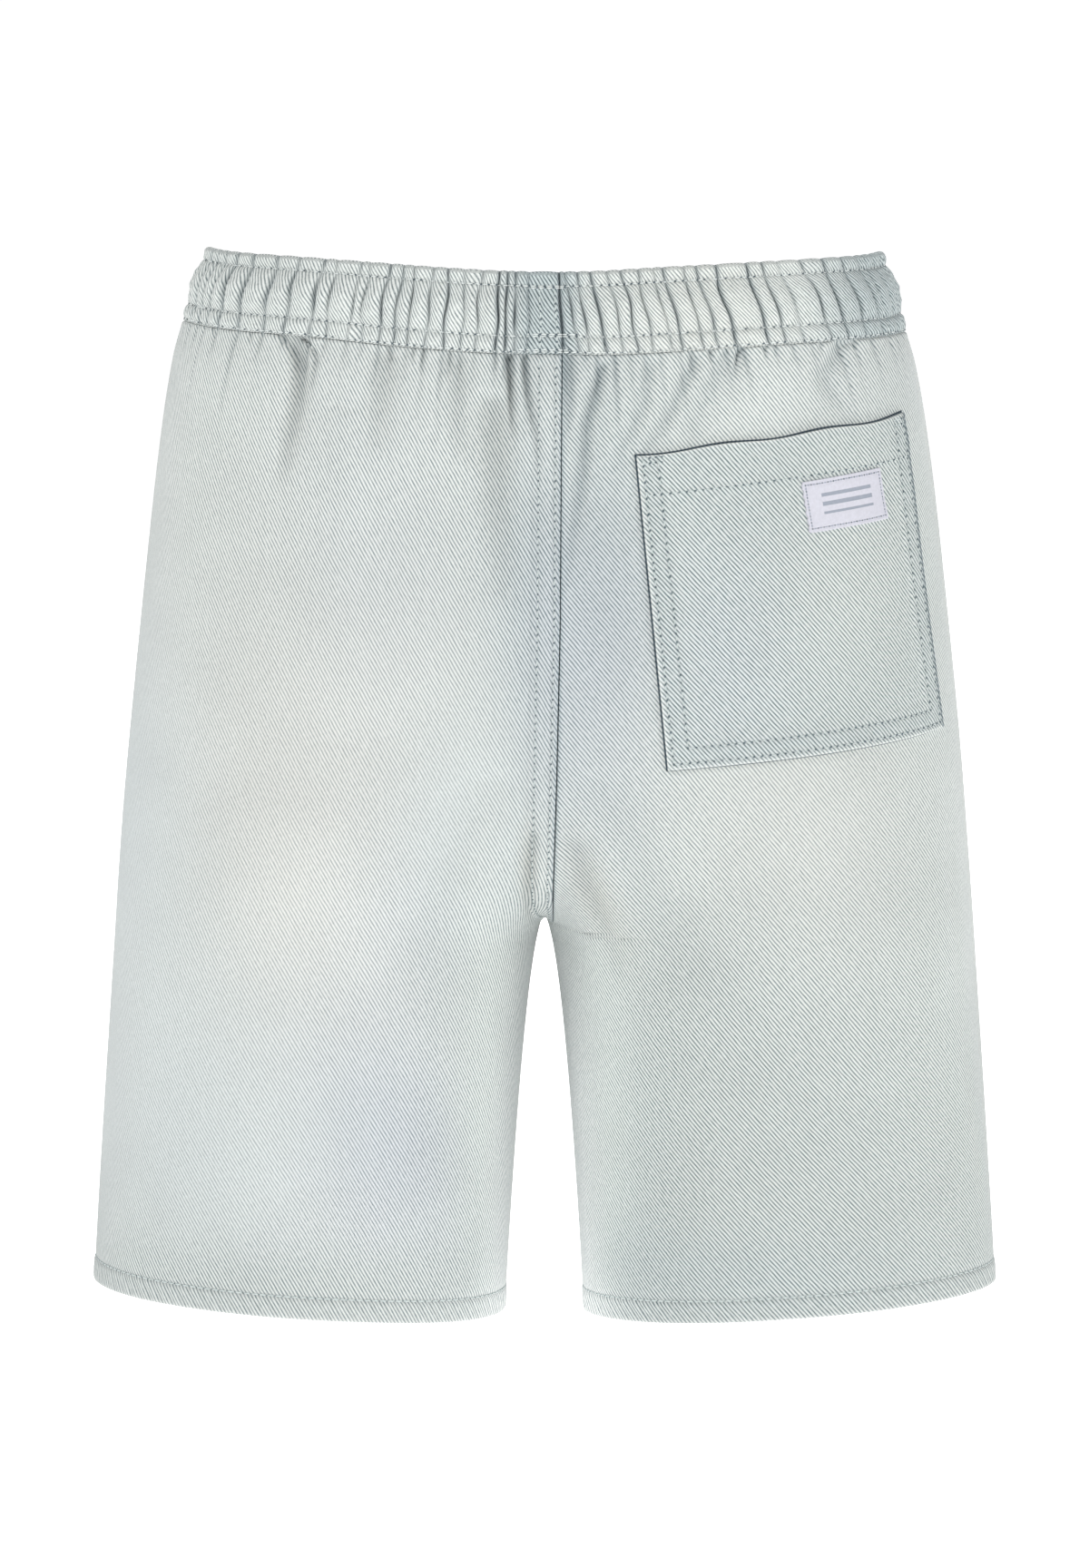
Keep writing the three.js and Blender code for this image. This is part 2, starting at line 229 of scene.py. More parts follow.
def heightAt(level, x, y):
    blend = form["waistFallBlend"]
    fall = form["waistFall"] * blend * np.log1p(np.exp(y / blend))
    atWaist = 1 - smooth((-form["bandHeight"] - level) / form["waistFallReach"])
    start = form["hemRiseStart"]
    atHem = smooth((start - level) / (start - form["hemLevel"]))
    outwards = np.clip((x - form["hemGap"]) / (sections[-1, 1] - form["hemGap"]), 0.0, 1.0)
    return level - atWaist * fall + atHem * form["hemRise"] * outwards


def outside(x, y, level, face):
    centre, width, depth, valley = halfSection(level, face)
    across = np.abs(np.hypot(x, valley) - centre) / width
    return across ** form["roundness"] + (np.abs(y) / depth) ** form["roundness"] - 1


# Points and outward normals of the plain cloth on the wearer's right half. level has a value
# for each row, and across a value for each point. A negative distance is on the other half.
def halfCloth(level, across, face):
    angles, arcs = arcCurves(level, face)
    angle = np.stack([
        np.interp(row, arc, turn) for row, arc, turn in zip(np.abs(across), arcs, angles)
    ])
    section = [part[:, None] for part in halfSection(level, face)]
    x, y = pointAt(section, angle, face)
    x = np.where(across < 0, -x, x)
    rows = np.broadcast_to(level[:, None], across.shape)
    step = form["normalStep"]

    def grows(dx, dy, dl):
        ahead = outside(x + dx, y + dy, rows + dl, face)
        return ahead - outside(x - dx, y - dy, rows - dl, face)

    def lift(dx, dy, dl):
        ahead = heightAt(rows + dl, x + dx, y + dy)
        return (ahead - heightAt(rows - dl, x - dx, y - dy)) / (2 * step)

    upwards = grows(0, 0, step) / lift(0, 0, step)
    normal = np.stack([
        grows(step, 0, 0) - upwards * lift(step, 0, 0),
        grows(0, step, 0) - upwards * lift(0, step, 0),
        upwards,
    ], axis=-1)
    normal /= np.linalg.norm(normal, axis=-1, keepdims=True)
    return np.stack([x, y, heightAt(rows, x, y)], axis=-1), normal


# The largest folds under the band, each a trough from its top to its foot, as in the part's
# solids: face, top, across at the top, foot, across at the foot, width, depth
folds = [
    ("back", -31, -97, -86, -103, 8, 3.0),
    ("back", -31, -57, -74, -66, 8, 1.6),
    ("back", -31, -14, -84, -12, 6, 3.2),
    ("back", -44, -25, -128, -14, 9, 1.8),
    ("back", -34, 22, -94, 13, 7, 2.4),
    ("back", -31, 60, -78, 42, 8, 2.4),
    ("back", -31, 80, -76, 54, 7, 2.8),
    ("back", -31, 126, -66, 110, 10, 2.4),
    ("front", -31, -112, -84, -104, 9, 2.6),
    ("front", -31, -74, -78, -60, 8, 2.2),
    ("front", -31, -30, -96, -22, 8, 2.4),
    ("front", -31, 18, -88, 14, 7, 2.6),
    ("front", -31, 62, -76, 52, 8, 2.2),
    ("front", -31, 104, -90, 108, 9, 2.8),
]
foldForm = {
    "start": 14.0,  # a fold deepens over this length from its top
    "atBand": 0.5,  # and has this share of its depth where it comes out from under the band
    "share": 0.6,  # of the solids' depth, because the sharper creases below lie in the folds
}
# The creases that the eye sees in those folds and beside them: width, depth, and the line as
# (level, distance from the middle plane).
creases = {
    "back": [
        (1.2, 1.3, ((-28, -130), (-34, -130))),
        (1.2, 1.3, ((-28, -115), (-36, -114.5))),
        (2.2, 1.5, ((-28, -108), (-32, -103), (-35.6, -99.4), (-40, -97.2), (-46, -97.5))),
        (1.4, 1.9, ((-28, -96.5), (-32, -95), (-35, -90.7), (-38.5, -88.9), (-44, -90), (-52, -91.5))),
        (4.2, 1.9, ((-33, -97), (-42, -95.5), (-55, -96.5), (-70, -100.5), (-88, -103.5))),
        (1.1, 1.4, ((-30, -61.6), (-37, -59.6))),
        (6.0, 1.4, ((-36, -63), (-57, -66), (-72, -67))),
        (1.1, 1.2, ((-28, -50), (-38, -52))),
        (1.1, 1.2, ((-29, -46.5), (-40, -48.5))),
        (1.2, 1.2, ((-31, -37), (-42, -38))),
        (5.0, 1.6, ((-34, -34.5), (-59, -34), (-76, -32))),
        (1.5, 3.0, ((-26, -14.3), (-38, -13.5), (-55, -12.6), (-64, -12.5))),
        (6.5, 1.8, ((-50, -20.5), (-88, -19), (-130, -15))),
        (1.9, 1.8, ((-26, -9), (-45, -6.5), (-62, -3.6), (-80, -2.5))),
        (10.0, -0.6, ((-60, -78), (-100, -81), (-150, -84))),
        (2.6, 1.7, ((-36, 22.5), (-57, 16.6), (-80, 14.4), (-104, 10.5), (-124, 7.5))),
        (3.6, 1.1, ((-36, 41), (-51, 38.5), (-67, 31), (-84, 26))),
        (3.4, 1.3, ((-35, 58.5), (-53, 50), (-68, 40), (-78, 36))),
        (5.0, 1.2, ((-34, 70.5), (-46, 64), (-57, 59), (-72, 57))),
        (1.4, 2.2, ((-30, 76.5), (-42, 74.5))),
        (1.2, 1.8, ((-29, 85.7), (-37, 86.8))),
        (1.1, 1.2, ((-30, 64), (-37, 65.5))),
        (5.5, 1.2, ((-30, 118), (-45, 110), (-58, 117), (-64, 120))),
        (1.5, 1.4, ((-28, 110), (-36, 107))),
        (2.0, 1.3, ((-33, 10.5), (-52, 10.2), (-66, 8.5))),
        (2.8, 1.2, ((-222, -4.5), (-234, -6), (-248, -6.5), (-264, -4.5))),
        (6.0, 1.1, ((-226, 12), (-244, 17), (-262, 24), (-284, 30))),
        (14.0, 0.8, ((-200, -20), (-240, -34), (-290, -60))),
        (14.0, 0.8, ((-200, 22), (-240, 38), (-290, 70))),
    ],
    "front": [
        (3.2, 2.4, ((-29, -104), (-40, -98), (-58, -102), (-84, -106))),
        (1.3, 1.8, ((-29, -84), (-42, -82))),
        (4.0, 2.2, ((-33, -68), (-52, -60), (-74, -54))),
        (1.3, 1.4, ((-30, -47), (-40, -46))),
        (2.6, 2.4, ((-30, -29), (-56, -25), (-92, -19), (-120, -10))),
        (1.5, 2.4, ((-28, -11), (-46, -9.5), (-62, -9))),
        (2.0, 2.2, ((-28, 13), (-50, 12), (-74, 9))),
        (5.0, 1.8, ((-36, 26), (-70, 24), (-110, 18))),
        (1.3, 1.6, ((-29, 40), (-41, 39))),
        (3.4, 2.2, ((-30, 62), (-50, 56), (-72, 50))),
        (1.3, 1.4, ((-29, 82), (-38, 83))),
        (3.4, 2.6, ((-29, 100), (-44, 104), (-66, 100), (-90, 104))),
        (14.0, 0.8, ((-200, -20), (-240, -34), (-290, -60))),
        (14.0, 0.8, ((-200, 22), (-240, 38), (-290, 70))),
    ],
}


creaseForm = {
    "scale": 1.5,  # how much deeper the cloth lies than the sizes above say
    "ease": 4.0,  # a crease begins and ends over this length
    "trough": 1.25,
    "ridge": 0.3,  # the height of the low ridges beside the trough
    "ridgeReach": 2.4,  # in crease widths
    "sharpSize": 2.2,  # a crease this deep and no wider than this looks sharp
    "sharpWidth": 2.6,
    "lineWidth": 1.5,
}


def foldDepth(level, across, face, side):
    depth = np.zeros(across.shape)
    for foldFace, top, topAcross, foot, footAcross, width, size in folds:
        if foldFace != face:
            continue
        t = np.clip((level - top) / (foot - top), 0.0, 1.0)
        away = (side * across - mix(topAcross, footAcross, t)) / width
        atTop = foldForm["atBand"] if top == -form["bandHeight"] else 0.0
        begun = mix(atTop, 1.0, smooth((top - level) / foldForm["start"]))
        here = (level <= top) & (level >= foot)
        size = size * foldForm["share"]
        depth += here * size * begun * np.exp(-away ** 2) * np.cos(t * math.pi / 2)
    return depth


# A crease is a trough between two low ridges. It is deepest near its top and fades downwards.
# Returns how deep each point lies, and how dark the line in a sharp crease is there.
def creaseDepth(level, across, face, side):
    depth = np.zeros(across.shape)
    shade = np.zeros(across.shape)
    rows = level[:, 0]
    for width, size, line in creases[face]:
        places = np.array(line, float)[::-1]
        top, foot = places[-1, 0], places[0, 0]
        ease = creaseForm["ease"]
        near = (rows <= top + ease) & (rows >= foot - ease)
        if not near.any():
            continue
        x = np.interp(rows[near], places[:, 0], places[:, 1])
        middle = np.sign(x) * acrossAtX(rows[near], face, np.abs(x))
        t = np.clip((top - rows[near]) / (top - foot), 0.0, 1.0)
        fromTop = smooth((top + ease - rows[near]) / ease)
        fade = fromTop * smooth((rows[near] - foot + ease) / ease) * (1 - t ** 1.6) ** 0.8
        away = (side * across[near] - middle[:, None]) / width
        ridges = creaseForm["ridge"] * np.exp(-(away / creaseForm["ridgeReach"]) ** 2)
        shape = creaseForm["trough"] * np.exp(-away ** 2) - ridges
        depth[near] += creaseForm["scale"] * size * fade[:, None] * shape
        sharp = min(1.0, abs(size) / creaseForm["sharpSize"]) * min(1.0, creaseForm["sharpWidth"] / width)
        shade[near] += sharp * fade[:, None] * np.exp(-(away * creaseForm["lineWidth"]) ** 2)
    return depth, shade


# Gathers of the waistband. x is millimetres from the middle of the back to a crease, half way
# down the band, and strength says how sharp and deep that crease is.
backCreases = [
    (-128.5, 0.5), (-124.0, 0.8), (-117.0, 0.9), (-107.3, 1.0), (-99.0, 0.8), (-88.9, 1.0),
    (-83.2, 0.4), (-74.2, 0.4), (-69.8, 0.4), (-62.3, 0.8), (-56.9, 0.7), (-52.2, 0.4),
    (-45.0, 0.5), (-38.5, 0.8), (-32.0, 0.5), (-25.6, 0.4), (-18.4, 1.2), (-14.8, 1.2),
    (-11.5, 0.9), (-6.5, 0.6), (6.5, 1.5), (10.6, 0.5), (15.1, 0.8), (20.9, 1.2), (27.5, 0.4),
    (33.1, 0.7), (39.5, 0.5), (46.1, 0.4), (50.0, 0.8), (58.0, 0.6), (63.4, 0.8), (70.9, 1.2),
    (83.2, 1.2), (89.6, 0.7), (96.5, 0.5), (106.2, 0.8), (114.1, 1.1), (121.3, 0.7),
    (127.8, 0.4),
]
band = {
    "rows": (5.4, 24.6, 30.6),  # stitch rows, below the top edge
    "rowSpan": 19.2,  # from the first row to the second
    "topPuff": -4.0,  # the puff above the first row would end here, past the top edge
    "middle": 14.0,  # the creases' places are measured at this distance below the edge
    "peaks": (0.6, 1.0, 0.6),  # how far the cloth puffs above each row
    "pinched": 0.16,  # and at a row
    "puffPerWidth": 0.32,
    "mostPuff": 2.4,
    "crumple": 0.3,  # small unevenness along each puff
    "creaseWidth": 0.55,
    "creaseDepth": 1.4,
    "creaseShown": 0.55,  # the width of the dark line in a crease
    "lap": 0.8,  # one edge of a gather rides higher than the other by up to this
    "rowGroove": 0.5,
    "twillBend": 0.7,
    "steepness": 56.0,
    "joinShown": 0.34,  # the width of the dark line where the band's two ends meet
    "leanRight": 0.17,  # creases on the wearer's right back run outwards and down
    "leanFrom": 15.0,
    "creaseReach": 46.0,  # below the top edge, past the band, where the panels' puckers take over
    "creaseTurns": 1.7,  # half turns of the fading from the band's top to its foot
    "frontGather": 7.2,  # the mean width of a gather where none shows
    "plainWidth": 11.0,  # a stretch wider than this beside the join is plain
    "joinStrength": 1.5,  # of the crease where the band's own ends meet
    "clothWall": 0.8,
    "innerFace": 2.6,
    "columnsAt": (0.0, 0.03, 0.075, 0.16, 0.28, 0.4, 0.5, 0.6, 0.72, 0.84, 0.92, 0.965),
    "seed": 11,
}


# Creases as shares of the ring, which runs from the middle of the back (0) round the wearer's
# right side (1), the middle of the front (2) and the left side (3).
def gatherTable():
    random = np.random.default_rng(band["seed"])
    middle = -band["middle"]
    backReach = sideReach(middle, "back")[0]
    frontReach = sideReach(middle, "front")[0]
    shares, strengths = [], []
    for x, strength in backCreases:
        share = acrossAtX(middle, "back", abs(x))[0] / backReach
        shares.append(share if x > 0 else 4 - share)
        strengths.append(strength)
    rightEnd = max(share for share in shares if share < 2)
    leftEnd = min(share for share in shares if share > 2)
    hiddenWidth = (leftEnd - rightEnd) * frontReach
    count = round(hiddenWidth / band["frontGather"])
    widths = random.uniform(0.6, 1.5, count)
    places = rightEnd + (leftEnd - rightEnd) * np.cumsum(widths)[:-1] / widths.sum()
    shares.extend(places)
    strengths.extend(random.uniform(0.35, 1.2, count - 1))
    order = np.argsort(shares)
    shares = np.array(shares)[order]
    strengths = np.array(strengths)[order]
    first = int(np.argmax(strengths == band["joinStrength"]))  # the ring starts at the join
    shares = np.concatenate([shares[first:], shares[:first] + 4])
    strengths = np.concatenate([strengths[first:], strengths[:first]])
    count = len(shares)
    width = np.diff(np.append(shares, shares[0] + 4)) * backReach
    room = np.minimum(width, np.roll(width, 1))  # creases that stand close wander less
    onRight = shares < 1.0
    lean = np.where(onRight, band["leanRight"], 0.0)

    # how far a crease strays, up to a most and a share of the room beside it
    def stray(most, share):
        return random.uniform(-1.0, 1.0, count) * np.minimum(most, share * room)

    lean = lean + stray(0.05, 0.006)
    lean[0] = 0.04
    fade = random.uniform(0.1, 0.8, count)
    fade[0] = 0.0
    puff = np.minimum(band["puffPerWidth"] * width, band["mostPuff"])
    puff *= random.uniform(0.75, 1.15, count)
    puff[(width > band["plainWidth"]) & (shares > 3.9)] = 0.35
    return {
        "share": shares,
        "strength": strengths,
        "width": width,
        "lean": lean / backReach,
        "wiggle": stray(1.1, 0.16) / backReach,
        "puff": puff,
        "peak": random.uniform(-2.5, 2.5, count),
        "sway": stray(0.8, 0.1) / backReach,
        "split": random.uniform(0.3, 0.7, count),
        "lap": random.uniform(-1.0, 1.0, count),
        "fade": fade,
        "fadeTurn": random.uniform(0.0, 2 * math.pi, count),
        "runOn": random.choice([4.0, 6.0, 9.0, 16.0], count),
        "runSize": random.uniform(0.25, 1.0, count),
    }


gathers = gatherTable()


# How far a gather puffs out at a distance below the band's top edge.
def puffEnvelope(below, peakShift):
    firstRow, secondRow, lastRow = band["rows"]
    starts = (band["topPuff"], firstRow, secondRow)
    ends = (firstRow, secondRow, lastRow)
    total = np.zeros(np.broadcast(below, peakShift).shape)
    for start, end, peak in zip(starts, ends, band["peaks"]):
        t = (below - start) / (end - start)
        here = (t >= 0) & (t <= 1)
        t = np.clip(t, 0.0, 1.0)
        skewed = np.clip(t + peakShift / 19.0 * np.sin(math.pi * t) * 0.5, 0.0, 1.0)
        size = mix(band["pinched"], peak, np.sin(math.pi * skewed) ** 0.8)
        total = np.where(here, size, total)
    return np.where(below > lastRow, band["pinched"], total)


# Shares of the ring where the creases lie at a distance below the top edge.
def creaseLines(below):
    drop = np.minimum(below, band["creaseReach"])
    pastRow = (drop - band["rows"][0]) / band["rowSpan"]
    return (
        gathers["share"]
        + gathers["lean"] * (drop - band["leanFrom"])
        + gathers["wiggle"] * np.sin(math.pi * np.clip(pastRow, 0.0, 1.0))
        + gathers["sway"] * np.sin(2 * math.pi * (drop - band["rows"][0]) / band["rowSpan"])
    )


# How sharp each crease is at a distance below the top edge, because most fade in places.
def creaseStrength(which, below):
    turn = gathers["fadeTurn"][which] + below / form["bandHeight"] * band["creaseTurns"] * math.pi
    return gathers["strength"][which] * (1 - gathers["fade"][which] * np.sin(turn) ** 2)


# The crease lines on both edges of a gather, from 0 to about 1.
def creaseShade(which, t, below, spread):
    following = (which + 1) % len(gathers["share"])
    width = gathers["width"][which]
    fromLeft = np.exp(-((t * width / spread) ** 2)) * creaseStrength(which, below)
    fromRight = np.exp(-(((1 - t) * width / spread) ** 2)) * creaseStrength(following, below)
    return fromLeft + fromRight


def rowGrooves(below):
    return sum(np.exp(-((below - row) / 0.55) ** 2) for row in band["rows"])


# Relief of the gathered band for a gather's number and a place t across it.
def bandRelief(which, t, below):
    size = puffEnvelope(below, gathers["peak"][which])
    dome = (4 * t * (1 - t)) ** 0.6
    crease = band["creaseDepth"] * creaseShade(which, t, below, band["creaseWidth"])
    split = gathers["split"][which]
    nearRow = np.clip(1.15 - size, 0.0, 1.0)
    small = 0.3 * nearRow * np.cos(2 * math.pi * (2 * t + split)) * np.sin(math.pi * t)
    lap = band["lap"] * gathers["lap"][which] * (2 * t - 1) * np.sqrt(dome) * size
    puffed = gathers["puff"][which] * size * dome
    crumple = np.sin(1.15 * below + 4.0 * t * (split - 0.2) + gathers["fadeTurn"][which])
    small = small + band["crumple"] * crumple * size * np.sin(math.pi * t)
    return puffed + lap + small - crease * (0.4 + 0.6 * size) - band["rowGroove"] * rowGrooves(below)


# Small puckers that run on from the gathers into the panels. share is the place on the ring.
# Returns their height and how deep each point lies in one.
def puckers(share, below):
    lines = creaseLines(np.float64(band["creaseReach"]))
    first = lines[0]
    turned = np.mod(share - first, 4.0) + first
    which = np.clip(np.searchsorted(lines, turned, side="right") - 1, 0, len(lines) - 1)
    following = np.append(lines[1:], first + 4.0)
    t = np.clip((turned - lines[which]) / (following[which] - lines[which]), 0.0, 1.0)
    past = np.maximum(below - form["bandHeight"], 0.0)
    after = (which + 1) % len(lines)
    fade = np.exp(-past / gathers["runOn"][which]) * gathers["runSize"][which]
    size = np.minimum(gathers["puff"][which], 1.3) * 1.15
    width = gathers["width"][which]
    line = 0.0
    for edge, crease in ((t, which), (1 - t, after)):
        reach = np.exp(-((past / (1.4 * gathers["runOn"][crease])) ** 2))
        line = line + gathers["strength"][crease] * reach * np.exp(-((edge * width / 0.9) ** 2))
    height = size * fade * ((4 * t * (1 - t)) ** 0.7 - 0.6) - 0.6 * line
    return height, line


def srgb(text):
    values = [int(text[k:k + 2], 16) / 255 for k in (0, 2, 4)]
    return np.array([v / 12.92 if v <= 0.04045 else ((v + 0.055) / 1.055) ** 2.4 for v in values])


# The wash: soft patches laid over the plain colour. x and z are millimetres as seen from
# straight behind, and the front has its own patches. Each colour says how strongly the twill
# shows in it, because the most bleached places have lost nearly all their dye.
washColours = {
    "plain": ("D6DAD7", 0.85),
    "pale": ("E2E5E2", 0.85),
    "cream": ("DBDBD7", 0.5),
    "blue": ("D0D6D6", 0.35),
    "lilac": ("CACED4", 0.8),
    "seam": ("BDC5C6", 1.0),
    "grey": ("CFD3D0", 1.0),
    "worn": ("F2F3F0", 0.3),
    # painted light: the pale laid on the inner legs, where the legs shade each other
    "innerLegPaintedLight": ("F9FAF8", 0.95),
    # painted shade, warm: the hollows of the left back and beside the seat seam
    "warmPaintedShade": ("B9B3A6", 0.8),
    "faded": ("CFD4D4", 0.5),
    # painted shade, grey: hollows, seam gaps, round the band's creases and under the pocket
    "greyPaintedShade": ("A9B5B9", 1.0),
    # painted shade, dark: lines of sharp creases, the pocket's outer edge and the border beyond it
    "darkPaintedShade": ("7A878C", 1.0),
    # painted shade, darkest: the underlap at the seat seam, the band's join and the border round the
    # pocket
    "deepPaintedShade": ("5A666E", 1.0),
    "inside": ("DDE2E1", 0.35),
    "band": ("E1E5E2", 0.82),
    "bandDark": ("C1CBCC", 1.0),
    "bandPale": ("E2E4DF", 0.72),
    "pocket": ("D4D9D7", 1.0),
    "pocketLilac": ("CFD4D7", 1.0),
    "pocketPale": ("DCDFDB", 0.95),
}
# x, z, radius across, radius up, turn in degrees, colour, strength
backWash = [
    (-120, -60, 60, 50, 0, "pale", 0.75),
    (-50, -60, 50, 36, 0, "pale", 0.5),
    (-97, -250, 50, 105, 10, "cream", 0.85),
    (-46, -250, 28, 40, 0, "lilac", 0.4),
    (-70, -170, 60, 60, 0, "cream", 0.5),
    (-60, -110, 36, 60, 0, "lilac", 0.25),
    (-165, -220, 24, 80, 0, "blue", 0.8),
    (-60, -345, 34, 46, 30, "lilac", 0.85),
    (-150, -345, 36, 60, 0, "blue", 0.6),
    (0, -100, 16, 120, 0, "seam", 0.85),
    (20, -140, 24, 84, 0, "lilac", 0.85),
    (-16, -250, 24, 30, 0, "seam", 0.4),
    (-30, -215, 22, 40, 0, "blue", 0.7),
    (95, -235, 44, 60, -8, "cream", 0.8),
    (60, -310, 60, 80, 0, "grey", 0.85),
    (120, -360, 60, 60, 0, "grey", 0.85),
    (26, -370, 20, 60, 0, "seam", 0.3),
    (168, -230, 16, 90, 0, "pale", 0.5),
    (-150, -400, 60, 24, 0, "grey", 0.6),
    (122, -48, 36, 18, 0, "lilac", 0.3),
    (60, -55, 80, 34, 0, "pale", 1.0),
    # these four pale patches are painted light, lightening the inner thighs and the crotch where the legs
    # shade each other
    (22, -330, 12, 90, 0, "pale", 0.8),
    (-22, -330, 12, 90, 0, "pale", 0.8),
    (8, -280, 12, 18, 0, "pale", 0.8),
    (-10, -282, 12, 18, 0, "pale", 0.8),
    (70, -400, 70, 16, 0, "seam", 0.45),
    (24, -95, 20, 60, 0, "seam", 0.4),
    # the next two patches are painted warm shade in the hollow and the fold beside the seat seam
    (-6, -236, 3.4, 15, 0, "warmPaintedShade", 0.4),
    (19, -246, 7, 22, 24, "warmPaintedShade", 0.3),
    (2, -244, 4, 16, 0, "pale", 0.8),
    (-125, -352, 50, 50, 0, "faded", 0.6),
    (-100, -404, 90, 12, 0, "grey", 0.5),
]
frontWash = [
    (-90, -230, 46, 90, 8, "cream", 0.9),
    (90, -235, 46, 86, -8, "cream", 0.9),
    (-165, -240, 24, 90, 0, "blue", 0.75),
    (165, -240, 24, 90, 0, "grey", 0.8),
    (0, -110, 18, 130, 0, "seam", 0.8),
    (-50, -345, 32, 50, 20, "lilac", 0.7),
    (56, -340, 32, 50, -20, "lilac", 0.6),
    (-90, -404, 90, 14, 0, "grey", 0.6),
    (90, -404, 90, 14, 0, "grey", 0.6),
    (90, -60, 60, 30, 0, "grey", 0.4),
    (-90, -60, 60, 30, 0, "lilac", 0.3),
]
pocketWash = [
    (70, -150, 30, 46, 0, "pocketLilac", 0.6),
    (120, -120, 26, 40, 0, "pocketPale", 0.6),
]
# across the back of the band: colour, x, reach, power of the falloff, strength
bandWash = [
    ("bandPale", 62.0, 34.0, 2, 0.7),
    ("bandDark", 0.5, 13.0, 4, 0.9),
]


def washed(name):
    hexColour, twillStrength = washColours[name]
    return np.array([*srgb(hexColour), twillStrength])


def washOver(tone, name, share):
    return mix(tone, washed(name), np.clip(share, 0.0, 1.0)[..., None])


def darken(tone, share):
    lit = np.ones(4)
    return tone * (lit - np.array([1.0, 0.97, 0.95, 0.0]) * np.asarray(share)[..., None])


# A higher tightness keeps each patch closer to its radii.
def washTone(points, table, plain="plain", tightness=0.7):
    tone = np.broadcast_to(washed(plain), (*points.shape[:-1], 4))
    for x, z, acrossRadius, upRadius, turn, name, strength in table:
        dx, dz = points[..., 0] - x, points[..., 2] - z
        c, s = math.cos(math.radians(turn)), math.sin(math.radians(turn))
        away = ((c * dx + s * dz) / acrossRadius) ** 2 + ((c * dz - s * dx) / upRadius) ** 2
        tone = washOver(tone, name, strength * np.exp(-tightness * away))
    return tone


# Coordinates of the twill on the cloth: x counts the twill lines, and y runs along them.
# A line falls to the right on the outside of every piece.
def weaveCoordinates(u, down, steepness, pitch):
    turn = math.radians(steepness)
    lines = (u * math.sin(turn) - down * math.cos(turn)) / pitch
    along = u * math.cos(turn) + down * math.sin(turn)
    return np.stack([lines, along], axis=-1)


# Makes a piece of a closed mesh, turned so that its faces point out. faces has each face's points,
# and weaveFaces the places in weave of its corners.
def addPiece(name, points, faces, weaveFaces, tones, weave, material):
    points = points * millimetre
    a, b, c, d = (points[faces[:, n]] for n in range(4))
    volume = np.einsum("ij,ij->", a, np.cross(b, c)) + np.einsum("ij,ij->", a, np.cross(c, d))
    if volume < 0:
        faces, weaveFaces = faces[:, ::-1], weaveFaces[:, ::-1]
    mesh = bpy.data.meshes.new(name)
    mesh.from_pydata(points.tolist(), [], faces.tolist())
    tone = mesh.attributes.new("tone", "FLOAT_COLOR", "POINT")
    tone.data.foreach_set("color", tones.astype(np.float32).ravel())
    uvs = mesh.uv_layers.new(name="weave")
    uvs.data.foreach_set("uv", weave[weaveFaces.ravel()].astype(np.float32).ravel())
    mesh.polygons.foreach_set("use_smooth", np.ones(len(faces), bool))
    mesh.materials.append(material)
    mesh.update()
    return addObject(name, mesh)


# A wall between an outer and an inner grid of points, each with its tone.
def makeWall(name, outer, inner, tones, weave, material):
    rows, columns = outer.shape[:2]
    i = np.arange(rows - 1)[:, None]
    j = np.arange(columns - 1)[None, :]
    last, end = rows - 1, columns - 1
    patches = [
        [(0, i, j), (0, i + 1, j), (0, i + 1, j + 1), (0, i, j + 1)],
        [(1, i, j), (1, i, j + 1), (1, i + 1, j + 1), (1, i + 1, j)],
        [(0, 0, j), (0, 0, j + 1), (1, 0, j + 1), (1, 0, j)],
        [(0, last, j), (1, last, j), (1, last, j + 1), (0, last, j + 1)],
        [(0, i, 0), (1, i, 0), (1, i + 1, 0), (0, i + 1, 0)],
        [(0, i, end), (0, i + 1, end), (1, i + 1, end), (1, i, end)],
    ]
    faces = np.concatenate([
        np.stack([
            ((layer * rows + row) * columns + column).ravel() for layer, row, column in patch
        ], axis=1)
        for patch in patches
    ])
    points = np.concatenate([outer.reshape(-1, 3), inner.reshape(-1, 3)])
    weave = np.concatenate([weave.reshape(-1, 2)] * 2)
    return addPiece(name, points, faces, faces, tones, weave, material)


# Closes a loop of strips round the ring, so that both directions run round. The weave has one
# column more than the points, so that it doesn't run back at the join.
def makeRing(name, strips, tones, weave, material):
    rows, columns = strips.shape[:2]
    i = np.arange(rows)[:, None]
    j = np.arange(columns)[None, :]
    corners = [(i, j), (i + 1, j), (i + 1, j + 1), (i, j + 1)]
    faces, weaveFaces = (
        np.stack([(row % rows * width + column % width).ravel() for row, column in corners], axis=1)
        for width in (columns, columns + 1)
    )
    points = strips.reshape(-1, 3)
    return addPiece(name, points, faces, weaveFaces, tones, weave.reshape(-1, 2), material)


def addNode(tree, kind, inputs=None, **settings):
    node = tree.nodes.new(kind)
    for name, value in settings.items():
        setattr(node, name, value)
    for key, value in (inputs or {}).items():
        if isinstance(value, bpy.types.NodeSocket):
            tree.links.new(value, node.inputs[key])
        else:
            node.inputs[key].default_value = value
    return node


def newMaterial(name):
    material = bpy.data.materials.new(name)
    material.use_nodes = True
    material.node_tree.nodes.clear()
    return material, material.node_tree


def colour(text):
    return (*srgb(text), 1.0)


# Noise that is fixed to the piece.
def pieceNoise(tree, scale, detail):
    place = addNode(tree, "ShaderNodeTexCoord")
    return addNode(tree, "ShaderNodeTexNoise", {
        "Vector": place.outputs["Object"], "Scale": scale, "Detail": detail,
    }).outputs[0]


def addSurface(tree, inputs):
    shader = addNode(tree, "ShaderNodeBsdfPrincipled", inputs)
    addNode(tree, "ShaderNodeOutputMaterial", {"Surface": shader.outputs[0]})


